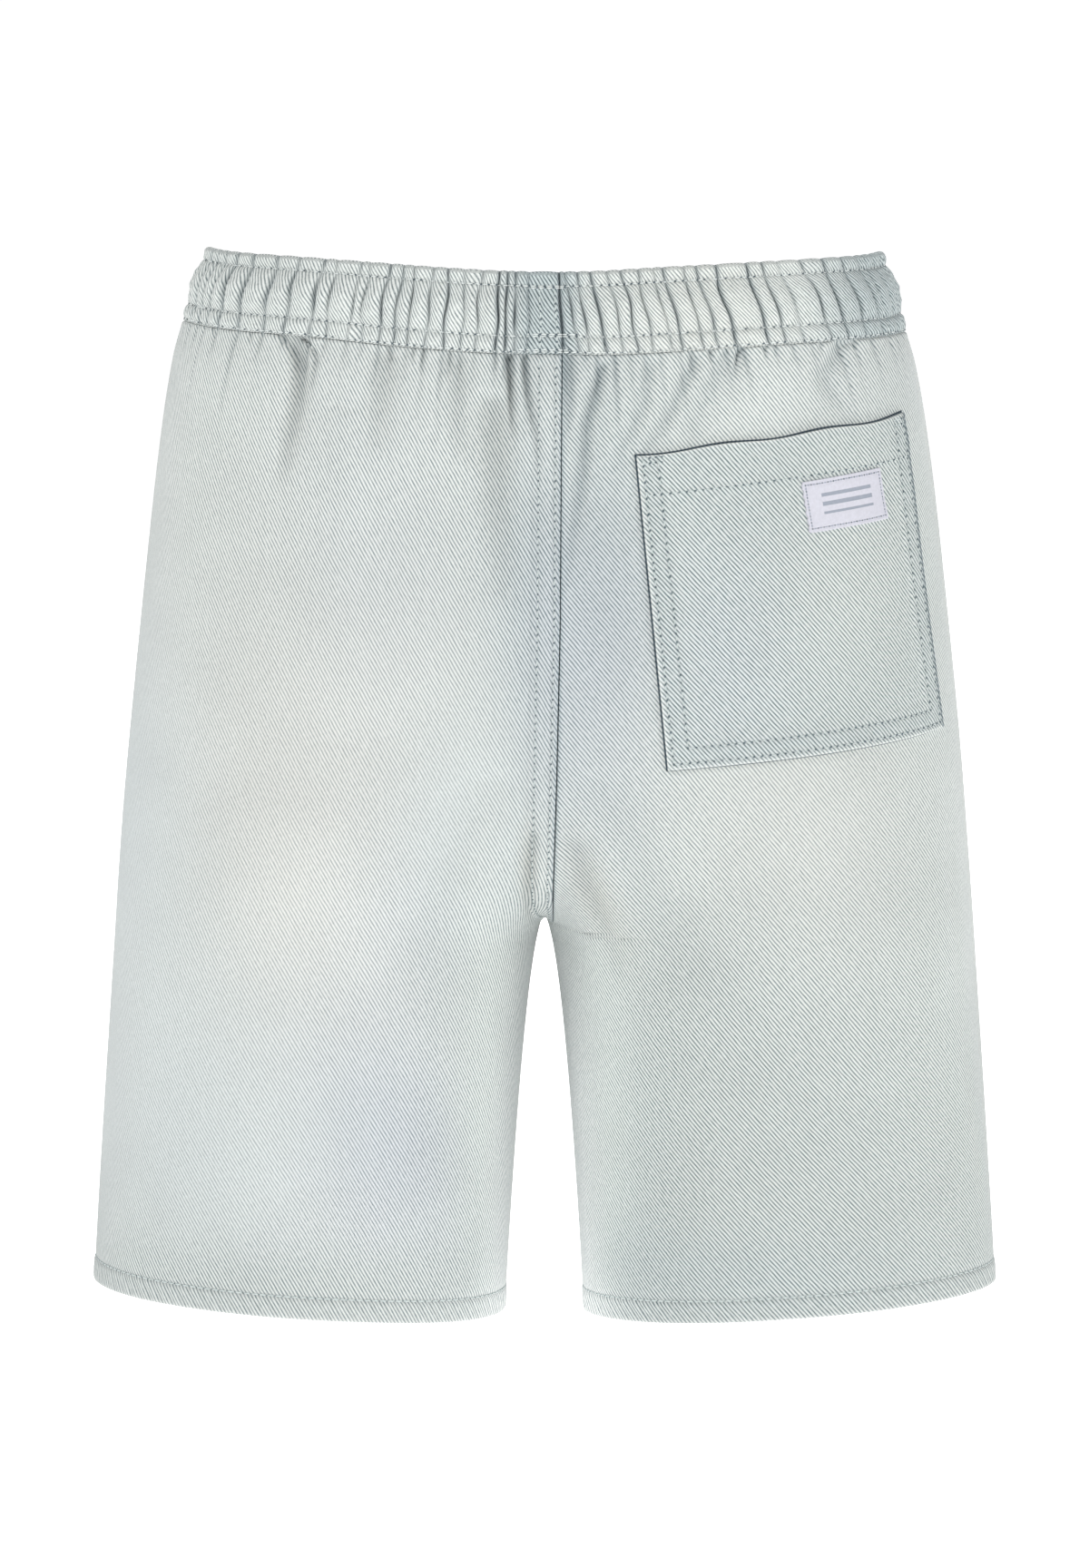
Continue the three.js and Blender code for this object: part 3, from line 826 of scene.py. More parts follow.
# Bleached cotton denim, a 3/1 twill. The eye sees pale diagonal ribs with thin grey-blue gaps
# between them, broken where the dyed warp has kept some indigo, and a matt, slightly fuzzy face.
twillLooks = {
    "bleachedTwillDenim": {"gap": "74868C", "speckle": 0.08},
    "gatheredTwillDenim": {"gap": "5C6E74", "speckle": 0.1},
    "pocketTwillDenim": {"gap": "74868B", "speckle": 0.1},
}


def twillMaterial(name, look):
    material, tree = newMaterial(name)
    tone = addNode(tree, "ShaderNodeAttribute", attribute_name="tone")
    weave = addNode(tree, "ShaderNodeUVMap", uv_map="weave")
    parts = addNode(tree, "ShaderNodeSeparateXYZ", {"Vector": weave.outputs["UV"]})
    lines, along = parts.outputs["X"], parts.outputs["Y"]
    # the ribs wander a little, as yarns do
    wander = addNode(tree, "ShaderNodeCombineXYZ", {
        "X": addNode(tree, "ShaderNodeMath", {0: lines, 1: 0.35}, operation="MULTIPLY").outputs[0],
        "Y": addNode(tree, "ShaderNodeMath", {0: along, 1: 0.12}, operation="MULTIPLY").outputs[0],
    })
    drift = addNode(tree, "ShaderNodeTexNoise", {"Vector": wander.outputs[0], "Scale": 1.0})
    shifted = addNode(
        tree, "ShaderNodeMath", {0: drift.outputs[0], 1: 0.4, 2: lines}, operation="MULTIPLY_ADD"
    )
    turns = addNode(
        tree, "ShaderNodeMath", {0: shifted.outputs[0], 1: 2 * math.pi}, operation="MULTIPLY"
    )
    wave = addNode(tree, "ShaderNodeMath", {0: turns.outputs[0]}, operation="COSINE")
    # every warp float is about 2 mm long, so the gaps break up at about that length
    breaks = addNode(tree, "ShaderNodeCombineXYZ", {
        "X": addNode(tree, "ShaderNodeMath", {0: lines, 1: 0.9}, operation="MULTIPLY").outputs[0],
        "Y": addNode(tree, "ShaderNodeMath", {0: along, 1: 0.42}, operation="MULTIPLY").outputs[0],
    })
    broken = addNode(
        tree, "ShaderNodeTexNoise", {"Vector": breaks.outputs[0], "Scale": 1.0, "Detail": 3.0}
    )
    gapLine = addNode(tree, "ShaderNodeMapRange", {
        "Value": wave.outputs[0], "From Min": -0.2, "From Max": 0.8,
    })
    gapBroken = addNode(tree, "ShaderNodeMapRange", {
        "Value": broken.outputs[0], "From Min": 0.3, "From Max": 0.6,
        "To Min": 0.6, "To Max": 1.0,
    })
    gap = addNode(tree, "ShaderNodeMath", {
        0: gapLine.outputs[0], 1: gapBroken.outputs[0],
    }, operation="MULTIPLY")
    gapFactor = addNode(
        tree, "ShaderNodeMath", {0: gap.outputs[0], 1: tone.outputs["Alpha"]}, operation="MULTIPLY"
    )
    darker = addNode(tree, "ShaderNodeMix", {
        0: 1.0, 6: tone.outputs["Color"], 7: colour(look["gap"]),
    }, data_type="RGBA", blend_type="MULTIPLY")
    twill = addNode(tree, "ShaderNodeMix", {
        0: gapFactor.outputs[0], 6: tone.outputs["Color"], 7: darker.outputs[2],
    }, data_type="RGBA")
    # uneven yarns give flecks of about 0.7 mm, and the wash gives clouds of about 40 mm
    flecks = pieceNoise(tree, 1400.0, 2.0)
    clouds = pieceNoise(tree, 26.0, 3.0)
    fleck = addNode(tree, "ShaderNodeMapRange", {
        "Value": flecks, "From Min": 0.3, "From Max": 0.7,
        "To Min": 1.0 - look["speckle"], "To Max": 1.0 + 0.5 * look["speckle"],
    })
    cloud = addNode(tree, "ShaderNodeMapRange", {
        "Value": clouds, "From Min": 0.3, "From Max": 0.7,
        "To Min": 0.965, "To Max": 1.02,
    })
    level = addNode(tree, "ShaderNodeMath", {
        0: fleck.outputs[0], 1: cloud.outputs[0],
    }, operation="MULTIPLY")
    finish = addNode(tree, "ShaderNodeVectorMath", {
        0: twill.outputs[2], "Scale": level.outputs[0],
    }, operation="SCALE")
    height = addNode(tree, "ShaderNodeMath", {
        0: flecks, 1: 0.5, 2: wave.outputs[0],
    }, operation="MULTIPLY_ADD")
    downwards = addNode(tree, "ShaderNodeMath", {0: height.outputs[0], 1: -1.0}, operation="MULTIPLY")
    bump = addNode(tree, "ShaderNodeBump", {
        "Strength": 0.35, "Distance": 0.00008, "Height": downwards.outputs[0],
    })
    addSurface(tree, {
        "Base Color": finish.outputs[0], "Roughness": 0.88, "Normal": bump.outputs[0],
        "Sheen Weight": 0.12, "Sheen Roughness": 0.5, "Specular IOR Level": 0.25,
    })
    return material


denim, bandDenim, pocketDenim = (
    twillMaterial(name, look) for name, look in twillLooks.items()
)


# Spun polyester sewing thread of 0.5 mm, grey-green and slightly glossy where it lies tight.
def threadMaterial(name, paler, darker):
    material, tree = newMaterial(name)
    noise = pieceNoise(tree, 700.0, 2.0)
    shade = addNode(tree, "ShaderNodeMix", {
        0: noise, 6: colour(darker), 7: colour(paler),
    }, data_type="RGBA")
    bump = addNode(tree, "ShaderNodeBump", {
        "Strength": 0.4, "Distance": 0.00005, "Height": noise,
    })
    addSurface(tree, {
        "Base Color": shade.outputs[2], "Roughness": 0.6, "Normal": bump.outputs[0],
    })
    return material


# The pressed-in cloth round a needle hole, which is in shade.
def holeMaterial():
    material, tree = newMaterial("needleHoleShade")
    shade = addNode(tree, "ShaderNodeMix", {
        0: pieceNoise(tree, 400.0, 1.0), 6: colour("465258"), 7: colour("64727A"),
    }, data_type="RGBA")
    addSurface(tree, {"Base Color": shade.outputs[2], "Roughness": 0.95})
    return material


# Damask-woven polyester tape: smooth, faintly lilac white with fine cross ribs and a soft
# gloss, and plain woven bars in grey instead of any wording.
labelWidth = 37.0
labelHeight = 20.0
labelLook = {
    "ground": "C8C8D2",
    "bar": "7E8896",
    "rib": 0.45,  # millimetres from rib to rib, drawn coarser than the real 0.2
    "bars": ((0.27, 0.34), (0.44, 0.52), (0.63, 0.68)),  # shares of the height
    "barEnds": (0.2, 0.82),  # shares of the length
}


def tapeMaterial():
    material, tree = newMaterial("damaskWovenTape")
    weave = addNode(tree, "ShaderNodeUVMap", uv_map="weave")
    parts = addNode(tree, "ShaderNodeSeparateXYZ", {"Vector": weave.outputs["UV"]})
    across, down = parts.outputs["X"], parts.outputs["Y"]

    def between(value, low, high):
        above = addNode(tree, "ShaderNodeMath", {0: value, 1: low}, operation="GREATER_THAN")
        under = addNode(tree, "ShaderNodeMath", {0: value, 1: high}, operation="LESS_THAN")
        return addNode(
            tree, "ShaderNodeMath", {0: above.outputs[0], 1: under.outputs[0]}, operation="MULTIPLY"
        ).outputs[0]

    inLength = between(across, *labelLook["barEnds"])
    covered = None
    for low, high in labelLook["bars"]:
        one = between(down, low, high)
        covered = one if covered is None else addNode(
            tree, "ShaderNodeMath", {0: covered, 1: one}, operation="ADD"
        ).outputs[0]
    bars = addNode(tree, "ShaderNodeMath", {0: covered, 1: inLength}, operation="MULTIPLY")
    ribTurns = 2 * math.pi * labelHeight / labelLook["rib"]
    ribAngle = addNode(tree, "ShaderNodeMath", {0: down, 1: ribTurns}, operation="MULTIPLY")
    ribs = addNode(tree, "ShaderNodeMath", {0: ribAngle.outputs[0]}, operation="SINE")
    barFactor = addNode(tree, "ShaderNodeMath", {
        0: bars.outputs[0], 1: 0.8,
    }, operation="MULTIPLY")
    face = addNode(tree, "ShaderNodeMix", {
        0: barFactor.outputs[0], 6: colour(labelLook["ground"]), 7: colour(labelLook["bar"]),
    }, data_type="RGBA")
    fleck = addNode(tree, "ShaderNodeMapRange", {
        "Value": pieceNoise(tree, 900.0, 2.0), "From Min": 0.3, "From Max": 0.7,
        "To Min": 0.94, "To Max": 1.03,
    })
    finish = addNode(tree, "ShaderNodeVectorMath", {
        0: face.outputs[2], "Scale": fleck.outputs[0],
    }, operation="SCALE")
    bump = addNode(tree, "ShaderNodeBump", {
        "Strength": 0.3, "Distance": 0.00005, "Height": ribs.outputs[0],
    })
    addSurface(tree, {
        "Base Color": finish.outputs[0], "Roughness": 0.55, "Normal": bump.outputs[0],
        "Sheen Weight": 0.2,
    })
    return material


thread = threadMaterial("spunPolyesterThread", "D3DAD8", "B4C0C0")
bandThread = threadMaterial("paleBandThread", "EEF1EF", "CBD4D3")
labelThread = threadMaterial("labelThread", "A9AEBB", "8A909E")
needleHole = holeMaterial()
tape = tapeMaterial()
print("materials made")

# The cloth panels.
panelLook = {
    "wall": 1.1,
    "hemWall": 2.4,
    "hemDepth": 9.0,
    "edgeRadius": 0.45,
    "legRounding": 0.3,  # the seams inside the legs are pressed flatter
    "tuck": 3.0,  # how far a panel reaches up between the band's two layers
    "tuckDepth": 0.95,
    "tuckEnd": 1.5,  # the cloth comes out from under the band over this length
    "felledWidth": 10.4,
    "felledEdge": 1.4,
    "felledRaise": 0.6,
    "innerShare": 0.5,
    "seamRows": (2.3, 8.8),  # stitch rows beside the seams in the middle of the back and front
    "ditch": 0.35,  # the seat seam's two edges stand this far apart
    "underlap": (2.6, 1.4, 0.6, 0.26, 0.12),
    "underlapDrop": 0.5,
    "edgeSteps": (0.0, 0.1, 0.25, 0.5, 0.9, 1.5),
    "seamSteps": (2.4, 3.6, 5.0, 6.6, 8.2, 9.4, 10.2, 10.6, 11.0, 11.4, 11.8),
    "evenColumns": {"back": 200, "front": 110},
    "ropePitch": 5.2,  # slanted puckers along the hems
    "ropeSlant": 0.8,
    "ropeSize": 0.2,
    "hemRaise": 0.25,
    "hemGroove": 0.55,
    "twillPitch": 1.3,  # the real 0.9 mm is drawn a little coarser, so that it shows
    "steepness": {("back", 1): 50.0, ("back", -1): 60.0, ("front", 1): 60.0, ("front", -1): 50.0},
}


def panelLevels(face):
    fine = 1.0 if face == "back" else 1.3
    top = -form["bandHeight"]
    hem = form["hemLevel"]
    tucked = top + np.array([panelLook["tuck"], 1.4, 0.4, 0.0, -0.3, -0.7, -1.2, -2.0])
    upper = np.arange(top - 3.0, -72, -1.7 * fine)
    body = np.arange(-72, -238, -3.4 * fine)
    crotch = np.arange(-238, -276, -1.7 * fine)
    legs = np.arange(-276, hem + 19, -3.8 * fine)
    above = np.array([18.0, 16.0, 14.0, 12.5, 11.2, 10.3, 9.7, 9.3, 9.0, 8.6, 8.0])
    last = np.array([7.0, 5.8, 4.6, 3.4, 2.3, 1.4, 0.8, 0.4, 0.2, 0.08, 0.0])
    return np.concatenate([tucked, upper, body, crotch, legs, hem + above, hem + last])


# How far an edge is rounded down at a distance from it.
def rolled(distance, radius):
    inside = np.clip(radius - distance, 0.0, radius)
    return radius - np.sqrt(radius ** 2 - inside ** 2)


# The distance round the cloth to a line that runs straight down 80 from the middle, less 80.
# Patterns measured from it don't jump where the two legs begin.
def plumbLine(level, face):
    return acrossAtX(level, face, 80.0)[:, None] - 80.0


# Slow, shallow unevenness of worn cloth.
def slackness(level, across, side, face, reach):
    turn = 0.0 if face == "back" else 2.1
    fromSeam = np.minimum(np.abs(across), reach - np.abs(across))
    seam = np.where(level > form["crotchLevel"] + 20.0, reach - np.abs(across), fromSeam)
    along = side * (across - plumbLine(level[:, 0], face))
    return (
        0.35 * np.sin(along / 17.0 + level / 41.0 + turn)
        + 0.3 * np.sin(along / 29.0 - level / 33.0 + 1.3 + turn)
        + 0.2 * np.sin(along / 11.0 + level / 71.0 + 2.2 * side + turn)
    ) * smooth((-level - 40) / 60) * smooth(seam / 16.0)


# How far round one pucker of a hem each point lies, as an angle.
def ropeTurn(across, aboveHem, side):
    slant = (side * across + panelLook["ropeSlant"] * aboveHem) / panelLook["ropePitch"] * 2 * math.pi
    return slant + 0.8 * np.sin(across / 23.0)


# The outer face of a panel. Returns its points, outward directions, and for each how deep it
# lies in a hollow and how close to the line of a sharp crease.
def panelSkin(level, across, face, side, out=0.0, plainEdges=False):
    rows = level[:, None]
    point, normal = halfCloth(level, across, face)
    reach = sideReach(level, face)[:, None]
    share = np.clip(np.abs(across) / reach, 0.0, 1.0)
    onLeft = (across < 0) != (side < 0)
    if face == "back":
        share = np.where(onLeft, 4 - share, share)
    else:
        share = np.where(onLeft, 2 + share, 2 - share)
    pucker, line = puckers(share, -rows)
    deep, shade = creaseDepth(rows, across, face, side)
    trough = foldDepth(rows, across, face, side) + deep
    onBody = rows > form["crotchLevel"]
    fell = 0.0
    if face == "back" and side < 0:
        past = across + seamShift(rows, face) - panelLook["felledWidth"]
        fell = onBody * panelLook["felledRaise"] * (1 - smooth(past / panelLook["felledEdge"]))
    aboveHem = rows - form["hemLevel"]
    depth = panelLook["hemDepth"]
    inHem = smooth((depth + 1.2 - aboveHem) / 1.2)
    rope = panelLook["ropeSize"] * np.sin(ropeTurn(across, aboveHem, side))
    rope = rope * inHem * np.sin(math.pi * np.clip(aboveHem / depth, 0.0, 1.0) ** 0.8) ** 0.5
    groove = panelLook["hemGroove"] * np.exp(-((aboveHem - depth) / 0.9) ** 2)
    total = out + fell + pucker - trough + rope - groove + panelLook["hemRaise"] * inHem
    total = total + slackness(rows, across, side, face, reach)
    if not plainEdges:
        tucked = smooth((rows + form["bandHeight"] + panelLook["tuckEnd"]) / panelLook["tuckEnd"])
        total = total * (1 - tucked) - panelLook["tuckDepth"] * tucked
    hollow = np.clip(trough / 4.5, 0.0, 1.0) + 0.4 * np.clip(-pucker / 0.9, 0.0, 1.0)
    sharp = np.clip(shade + 0.8 * line, 0.0, 1.0)
    return point + normal * total[..., None], normal, (hollow, sharp)


# Panels are worked out on the wearer's right, and those on the left are their mirror image.
def mirrored(vectors, side):
    return vectors * np.array([side, 1.0, 1.0])


# The distances round the cloth of a panel's columns of points, which lie close together at its
# seams and edges, and the places of its middle seam and of its side seam.
def panelColumns(level, face, side):
    rows = level[:, None]
    look = panelLook
    onBody = rows > form["crotchLevel"]
    reach = sideReach(level, face)[:, None]
    seam = np.where(onBody, side * seamShift(rows, face), 0.0)
    seam = seam + look["ditch"] / 2 * onBody * (face == "back")
    nearSeam = seam + np.array([*look["edgeSteps"], *look["seamSteps"]])[None, :]
    if face == "back" and side > 0:  # its edge goes on under the other back panel
        under = -np.array(look["underlap"]) * smooth((rows - form["crotchLevel"]) / 6.0)
        nearSeam = np.concatenate([seam + under, nearSeam], axis=1)
    nearSide = reach - np.array(look["edgeSteps"][::-1])[None, :]
    start = nearSeam[:, -1:]
    end = nearSide[:, :1]
    fromSide = np.linspace(1, 0, look["evenColumns"][face] + 2)[None, 1:-1]
    even = alongTable(evenReach, rows, 1 if face == "back" else 2)
    even = np.minimum(even, end) - start
    spread = smooth((fromSide - 1 + look["innerShare"]) / look["innerShare"])
    between = end - mix(even, end - start, spread) * fromSide
    return np.concatenate([nearSeam, between, nearSide], axis=1), seam, reach


# How strongly painted shade, painted light and wear tint a panel along its hollows, creases, seams,
# stitch rows, legs and hems, as shares of the colours in washColours.
paintedLightAndWear = {
    "hollow": 0.2,  # painted shade in hollows, where worn denim also keeps some dye
    "hollowShade": 0.08,
    "crease": 0.5,
    "seam": 0.6,  # painted shade in the gaps at the seams
    "seamRowShade": 0.14,
    "hemRowShade": 0.12,
    "ropeShade": 0.1,
    "innerLegPaintedLight": 0.85,  # painted light: the inner legs are lightened where the legs shade each other
    "innerLegPaintedLightReach": 37.0,  # millimetres from their seams
    "hemEdge": 0.5,
}


def panelTone(skin, across, aboveHem, seam, reach, hollow, sharp, face, side):
    onBody = aboveHem > form["crotchLevel"] - form["hemLevel"]
    tone = washTone(skin, backWash if face == "back" else frontWash)
    # Painted shade in the hollows, warm on the left back, and along the lines of sharp creases. The
    # hollows also keep some dye.
    tone = washOver(tone, "warmPaintedShade" if face == "back" and side < 0 else "greyPaintedShade", paintedLightAndWear["hollow"] * hollow)
    tone = darken(tone, paintedLightAndWear["hollowShade"] * hollow)
    tone = washOver(tone, "darkPaintedShade", paintedLightAndWear["crease"] * sharp)
    # Painted shade in the gaps at the seat seam and at the side seams.
    seamShade = np.exp(-((across - seam) / 0.9) ** 2) + np.exp(-((reach - across) / 1.2) ** 2)
    tone = washOver(tone, "greyPaintedShade", paintedLightAndWear["seam"] * seamShade)
    # Painted shade in the grooves of the stitch rows beside the middle seams.
    if side < 0:
        rows = sum(np.exp(-((across - seam - row) / 0.6) ** 2) for row in panelLook["seamRows"])
        tone = darken(tone, paintedLightAndWear["seamRowShade"] * rows * onBody)
    # Painted shade on the edge that lies under the other back panel.
    tone = washOver(tone, "deepPaintedShade", 1.0 * (across < seam - 0.02))
    # Painted shade in the hem's stitch row and on one side of each slanted pucker.
    row = np.exp(-((aboveHem - panelLook["hemDepth"]) / 1.1) ** 2)
    tone = darken(tone, paintedLightAndWear["hemRowShade"] * row)
    roped = np.clip(-np.sin(ropeTurn(across, aboveHem, side)), 0.0, 1.0)
    tone = darken(tone, paintedLightAndWear["ropeShade"] * roped * (aboveHem < panelLook["hemDepth"]))
    # Painted light on the inner legs, near their seams, where the legs shade each other.
    legTop = form["crotchLevel"] - form["hemLevel"] + 4.0
    innerLegPaintedLight = np.exp(-(across / paintedLightAndWear["innerLegPaintedLightReach"]) ** 4) * smooth((legTop - aboveHem) / 24.0)
    tone = washOver(tone, "innerLegPaintedLight", paintedLightAndWear["innerLegPaintedLight"] * innerLegPaintedLight)
    return washOver(tone, "worn", paintedLightAndWear["hemEdge"] * np.exp(-(aboveHem / 0.8) ** 2))


def makePanel(name, face, side):
    look = panelLook
    level = panelLevels(face)
    rows = level[:, None]
    across, seam, reach = panelColumns(level, face, side)
    skin, normal, (hollow, sharp) = panelSkin(level, across, face, side)
    edge = np.minimum(across - seam, reach - across)
    edge = np.minimum(edge, rows - form["hemLevel"])
    rounding = np.where(rows > form["crotchLevel"], 1.0, look["legRounding"])
    drop = rolled(np.maximum(edge, 0.0), look["edgeRadius"]) * rounding
    drop = drop + look["underlapDrop"] * smooth((seam - across) / 0.25)
    wall = np.where(rows <= form["hemLevel"] + look["hemDepth"], look["hemWall"], look["wall"])
    wall = wall + look["underlapDrop"] * smooth((seam - across + 1.2) / 1.4)
    lining = mirrored(skin - normal * wall[..., None], side)
    skin = mirrored(skin - normal * drop[..., None], side)
    aboveHem = (rows - form["hemLevel"]) * np.ones(across.shape)
    tone = panelTone(skin, across, aboveHem, seam, reach, hollow, sharp, face, side)
    insideTone = np.broadcast_to(washed("inside"), tone.shape)
    rightwards = side * (across - plumbLine(level, face)) * (1 if face == "back" else -1)
    weave = weaveCoordinates(
        rightwards, -rows * np.ones(across.shape), look["steepness"][(face, side)], look["twillPitch"]
    )
    return makeWall(name, skin, lining, np.stack([tone, insideTone]), weave, denim)


rightBack = makePanel("rightBackPanel", "back", 1)
leftBack = makePanel("leftBackPanel", "back", -1)
rightFront = makePanel("rightFrontPanel", "front", 1)
leftFront = makePanel("leftFrontPanel", "front", -1)
print("four panels made")


# A point of the ring by its share of the way round, for the plain band.
def ringPoint(below, share, out):
    level = -below
    quarter = np.floor(np.mod(share, 4.0)).astype(int)
    part = np.mod(share, 1.0)
    part = np.where(quarter % 2 == 1, 1 - part, part)
    points = np.zeros((*share.shape, 3))
    normals = np.zeros(points.shape)
    for face, quarters in (("back", (0, 3)), ("front", (1, 2))):
        reach = sideReach(level, face)[:, None]
        point, normal = halfCloth(level, part * reach, face)
        for which in quarters:
            here = quarter == which
            mirror = np.array([1.0 if which in (0, 1) else -1.0, 1.0, 1.0])
            points = np.where(here[..., None], point * mirror, points)
            normals = np.where(here[..., None], normal * mirror, normals)
    return points + normals * out[..., None], normals


def bandColumns():
    count = len(gathers["share"])
    which = np.repeat(np.arange(count), len(band["columnsAt"]))
    t = np.tile(np.array(band["columnsAt"]), count)
    return which, t


def ringShares(below, which, t):
    lines = np.stack([creaseLines(b) for b in np.atleast_1d(below)])
    following = np.concatenate([lines[:, 1:], lines[:, :1] + 4.0], axis=1)
    return mix(lines[:, which], following[:, which], t[None, :])


# The band is a strip folded over the elastic, so its profile goes down the outer cloth, up
# behind it, over the fold's inside, and down and up the inner cloth, back to the start.
bandRows = [
    1.3, 1.9, 2.6, 3.4, 4.2, 4.8, 5.1, 5.4, 5.7, 6.1, 6.8, 7.8, 9.2, 10.8, 12.6, 14.4, 16.2, 18.0,
    19.6, 21.0, 22.3, 23.3, 24.0, 24.4, 24.7, 25.1, 25.8, 26.7, 27.7, 28.7, 29.5, 30.1, 30.5,
    30.8, 31.1,
]
middleRow = bandRows.index(16.2)


def bandProfile():
    wall, inner = band["clothWall"], band["innerFace"]
    bottom = form["bandHeight"] + 0.4
    hiddenRows = [30.0, 27.0, 24.6, 20.0, 15.0, 10.0, 5.4, 2.6]
    innerRows = [31.0, 30.5, 29.4, 27.6, 25.8, 24.6, 23.4, 21.0, 18.0, 15.0, 12.0, 9.0, 6.6, 5.4, 4.2]
    innerRows += [2.6, 1.3]
    profile = [(below, 0.0, "outer") for below in bandRows]
    profile += [(bottom, -0.1, "outer"), (bottom, -wall + 0.1, "outer")]
    profile += [(below, -wall, "outer") for below in hiddenRows]
    profile += [(1.9, -inner / 2, "top")]
    profile += [(below, wall - inner, "inner") for below in hiddenRows[::-1]]
    profile += [(bottom, wall - inner - 0.1, "inner"), (bottom, 0.1 - inner, "inner")]
    profile += [(below, -inner, "inner") for below in innerRows]
    profile += [(0.55, 0.25 - inner, "top"), (0.12, 0.7 - inner, "top"), (0.0, -inner / 2, "top")]
    profile += [(0.12, -0.7, "top"), (0.55, -0.25, "top")]
    return profile


def bandRow(below, out, layer, which, t):
    relief = bandRelief(which, t, np.float64(below))
    if layer == "inner":
        relief = -0.45 * relief
    if layer == "top":
        relief = relief * (0.75 + out / band["innerFace"])
        below = below + 0.5 * (0.5 - (4 * t * (1 - t)) ** 0.6)
    return below, out + relief


# The colour of one row of the band's points, with painted shade in and beside its creases,
# in its join and along its stitch rows.
def bandTone(points, which, t, below, layer):
    x = points[:, 0]
    onBack = points[:, 1] < 0
    tone = np.broadcast_to(washed("inside" if layer == "inner" else "band"), (len(points), 4))
    for name, middle, reach, power, strength in bandWash:
        tone = washOver(tone, name, strength * np.exp(-(((x - middle) / reach) ** power)) * onBack)
    # the band darkens towards the wearer's right side
    tone = washOver(tone, "bandDark", 0.8 * smooth((x - 95) / 35) * onBack)
    # Painted shade beside and in the creases of the gathers.
    tone = washOver(tone, "greyPaintedShade", 0.3 * creaseShade(which, t, np.float64(below), 1.3))
    line = creaseShade(which, t, np.float64(below), band["creaseShown"])
    tone = washOver(tone, "darkPaintedShade", 0.62 * line)
    # Painted shade in the gap where the band's two ends meet.
    last = len(gathers["share"]) - 1
    fromJoin = np.where(which == 0, t, np.where(which == last, 1 - t, 1.0)) * gathers["width"][which]
    atJoin = np.exp(-((fromJoin / band["joinShown"]) ** 2)) * (layer == "outer")
    openJoin = band["rows"][0] <= below < band["rows"][1]  # the join gapes between these rows
    tone = washOver(tone, "deepPaintedShade", (0.9 if openJoin else 0.4) * atJoin)
    # Painted shade along the stitch rows' grooves.
    return darken(tone, 0.14 * rowGrooves(below) * np.ones(len(points)))


# The twill of the band, with lines that bend across each puff.
def bandWeave(strips, profile, t):
    around = np.vstack([strips[middleRow], strips[middleRow][:1]])
    steps = np.linalg.norm(np.diff(around, axis=0), axis=1)
    u = np.concatenate([[0.0], np.cumsum(steps)])
    down = np.cumsum([0.0] + [
        abs(b[0] - a[0]) + abs(b[1] - a[1]) * 0.5 for a, b in zip(profile, profile[1:])
    ])
    below = np.array([row[0] for row in profile])
    down = np.where(down > down[len(bandRows) - 1], down, below)
    t = np.append(t, 0.0)
    between = np.sin(math.pi * np.clip((down - band["rows"][0]) / band["rowSpan"], 0.0, 1.0))[:, None]
    u = u[None, :] + band["twillBend"] * np.sin(math.pi * t)[None, :] * between
    down = np.broadcast_to(down[:, None], u.shape)
    return weaveCoordinates(u, down, band["steepness"], panelLook["twillPitch"])


def makeBand():
    which, t = bandColumns()
    profile = bandProfile()
    strips, tones = [], []
    for below, out, layer in profile:
        drop, total = bandRow(below, out, layer, which, t)
        points, _ = ringPoint(np.array([float(below)]), ringShares(below, which, t), total[None, :])
        points = points[0]
        points[:, 2] -= drop - below
        strips.append(points)
        tones.append(bandTone(points, which, t, below, layer))
    strips = np.stack(strips)
    weave = bandWeave(strips, profile, t)
    return makeRing("gatheredWaistband", strips, np.stack(tones), weave, bandDenim)


waistband = makeBand()
print("waistband made")

# The patch pocket, by its corners: distance round the cloth from the middle, and level.
pocket = {
    "topInner": (35.7, -71.0),
    "topOuter": (154.9, -61.5),
    "bottomInner": (48.1, -194.5),
    "bottomOuter": (175.3, -185.0),
    "lift": 0.2,
    "wall": 1.1,
    "hemDepth": 16.0,
    "hemRaise": 0.5,
    "edgeRadius": 0.5,
    "bulge": 1.0,
    "rowGroove": 0.28,
    "hemGroove": 0.3,
    "turnedIn": 10.5,  # width of the allowance turned under along the sewn edges
    "mouth": 1.1,  # how far the top edge stands off the panel in its middle
    "columns": 76,
    "rows": 84,
    "borderFrom": -0.01,
    "sideBorder": (0.7, 0.8),
    "endBorder": (0.75, 0.35),
    "edgeRow": 2.3,  # stitch rows, from the edge
    "innerRow": 8.2,
    "steepness": 47.0,
}
pocketWidth = 122.0
pocketHeight = 124.0


# The distance round the cloth and the level of a place on a piece with four corners. s runs
# from the inner side to the outer, and t from the top to the bottom.
def cornerPlace(piece, s, t):
    places = []
    for part in (0, 1):
        top = mix(piece["topInner"][part], piece["topOuter"][part], s)
        bottom = mix(piece["bottomInner"][part], piece["bottomOuter"][part], s)
        places.append(mix(top, bottom, t))
    return places


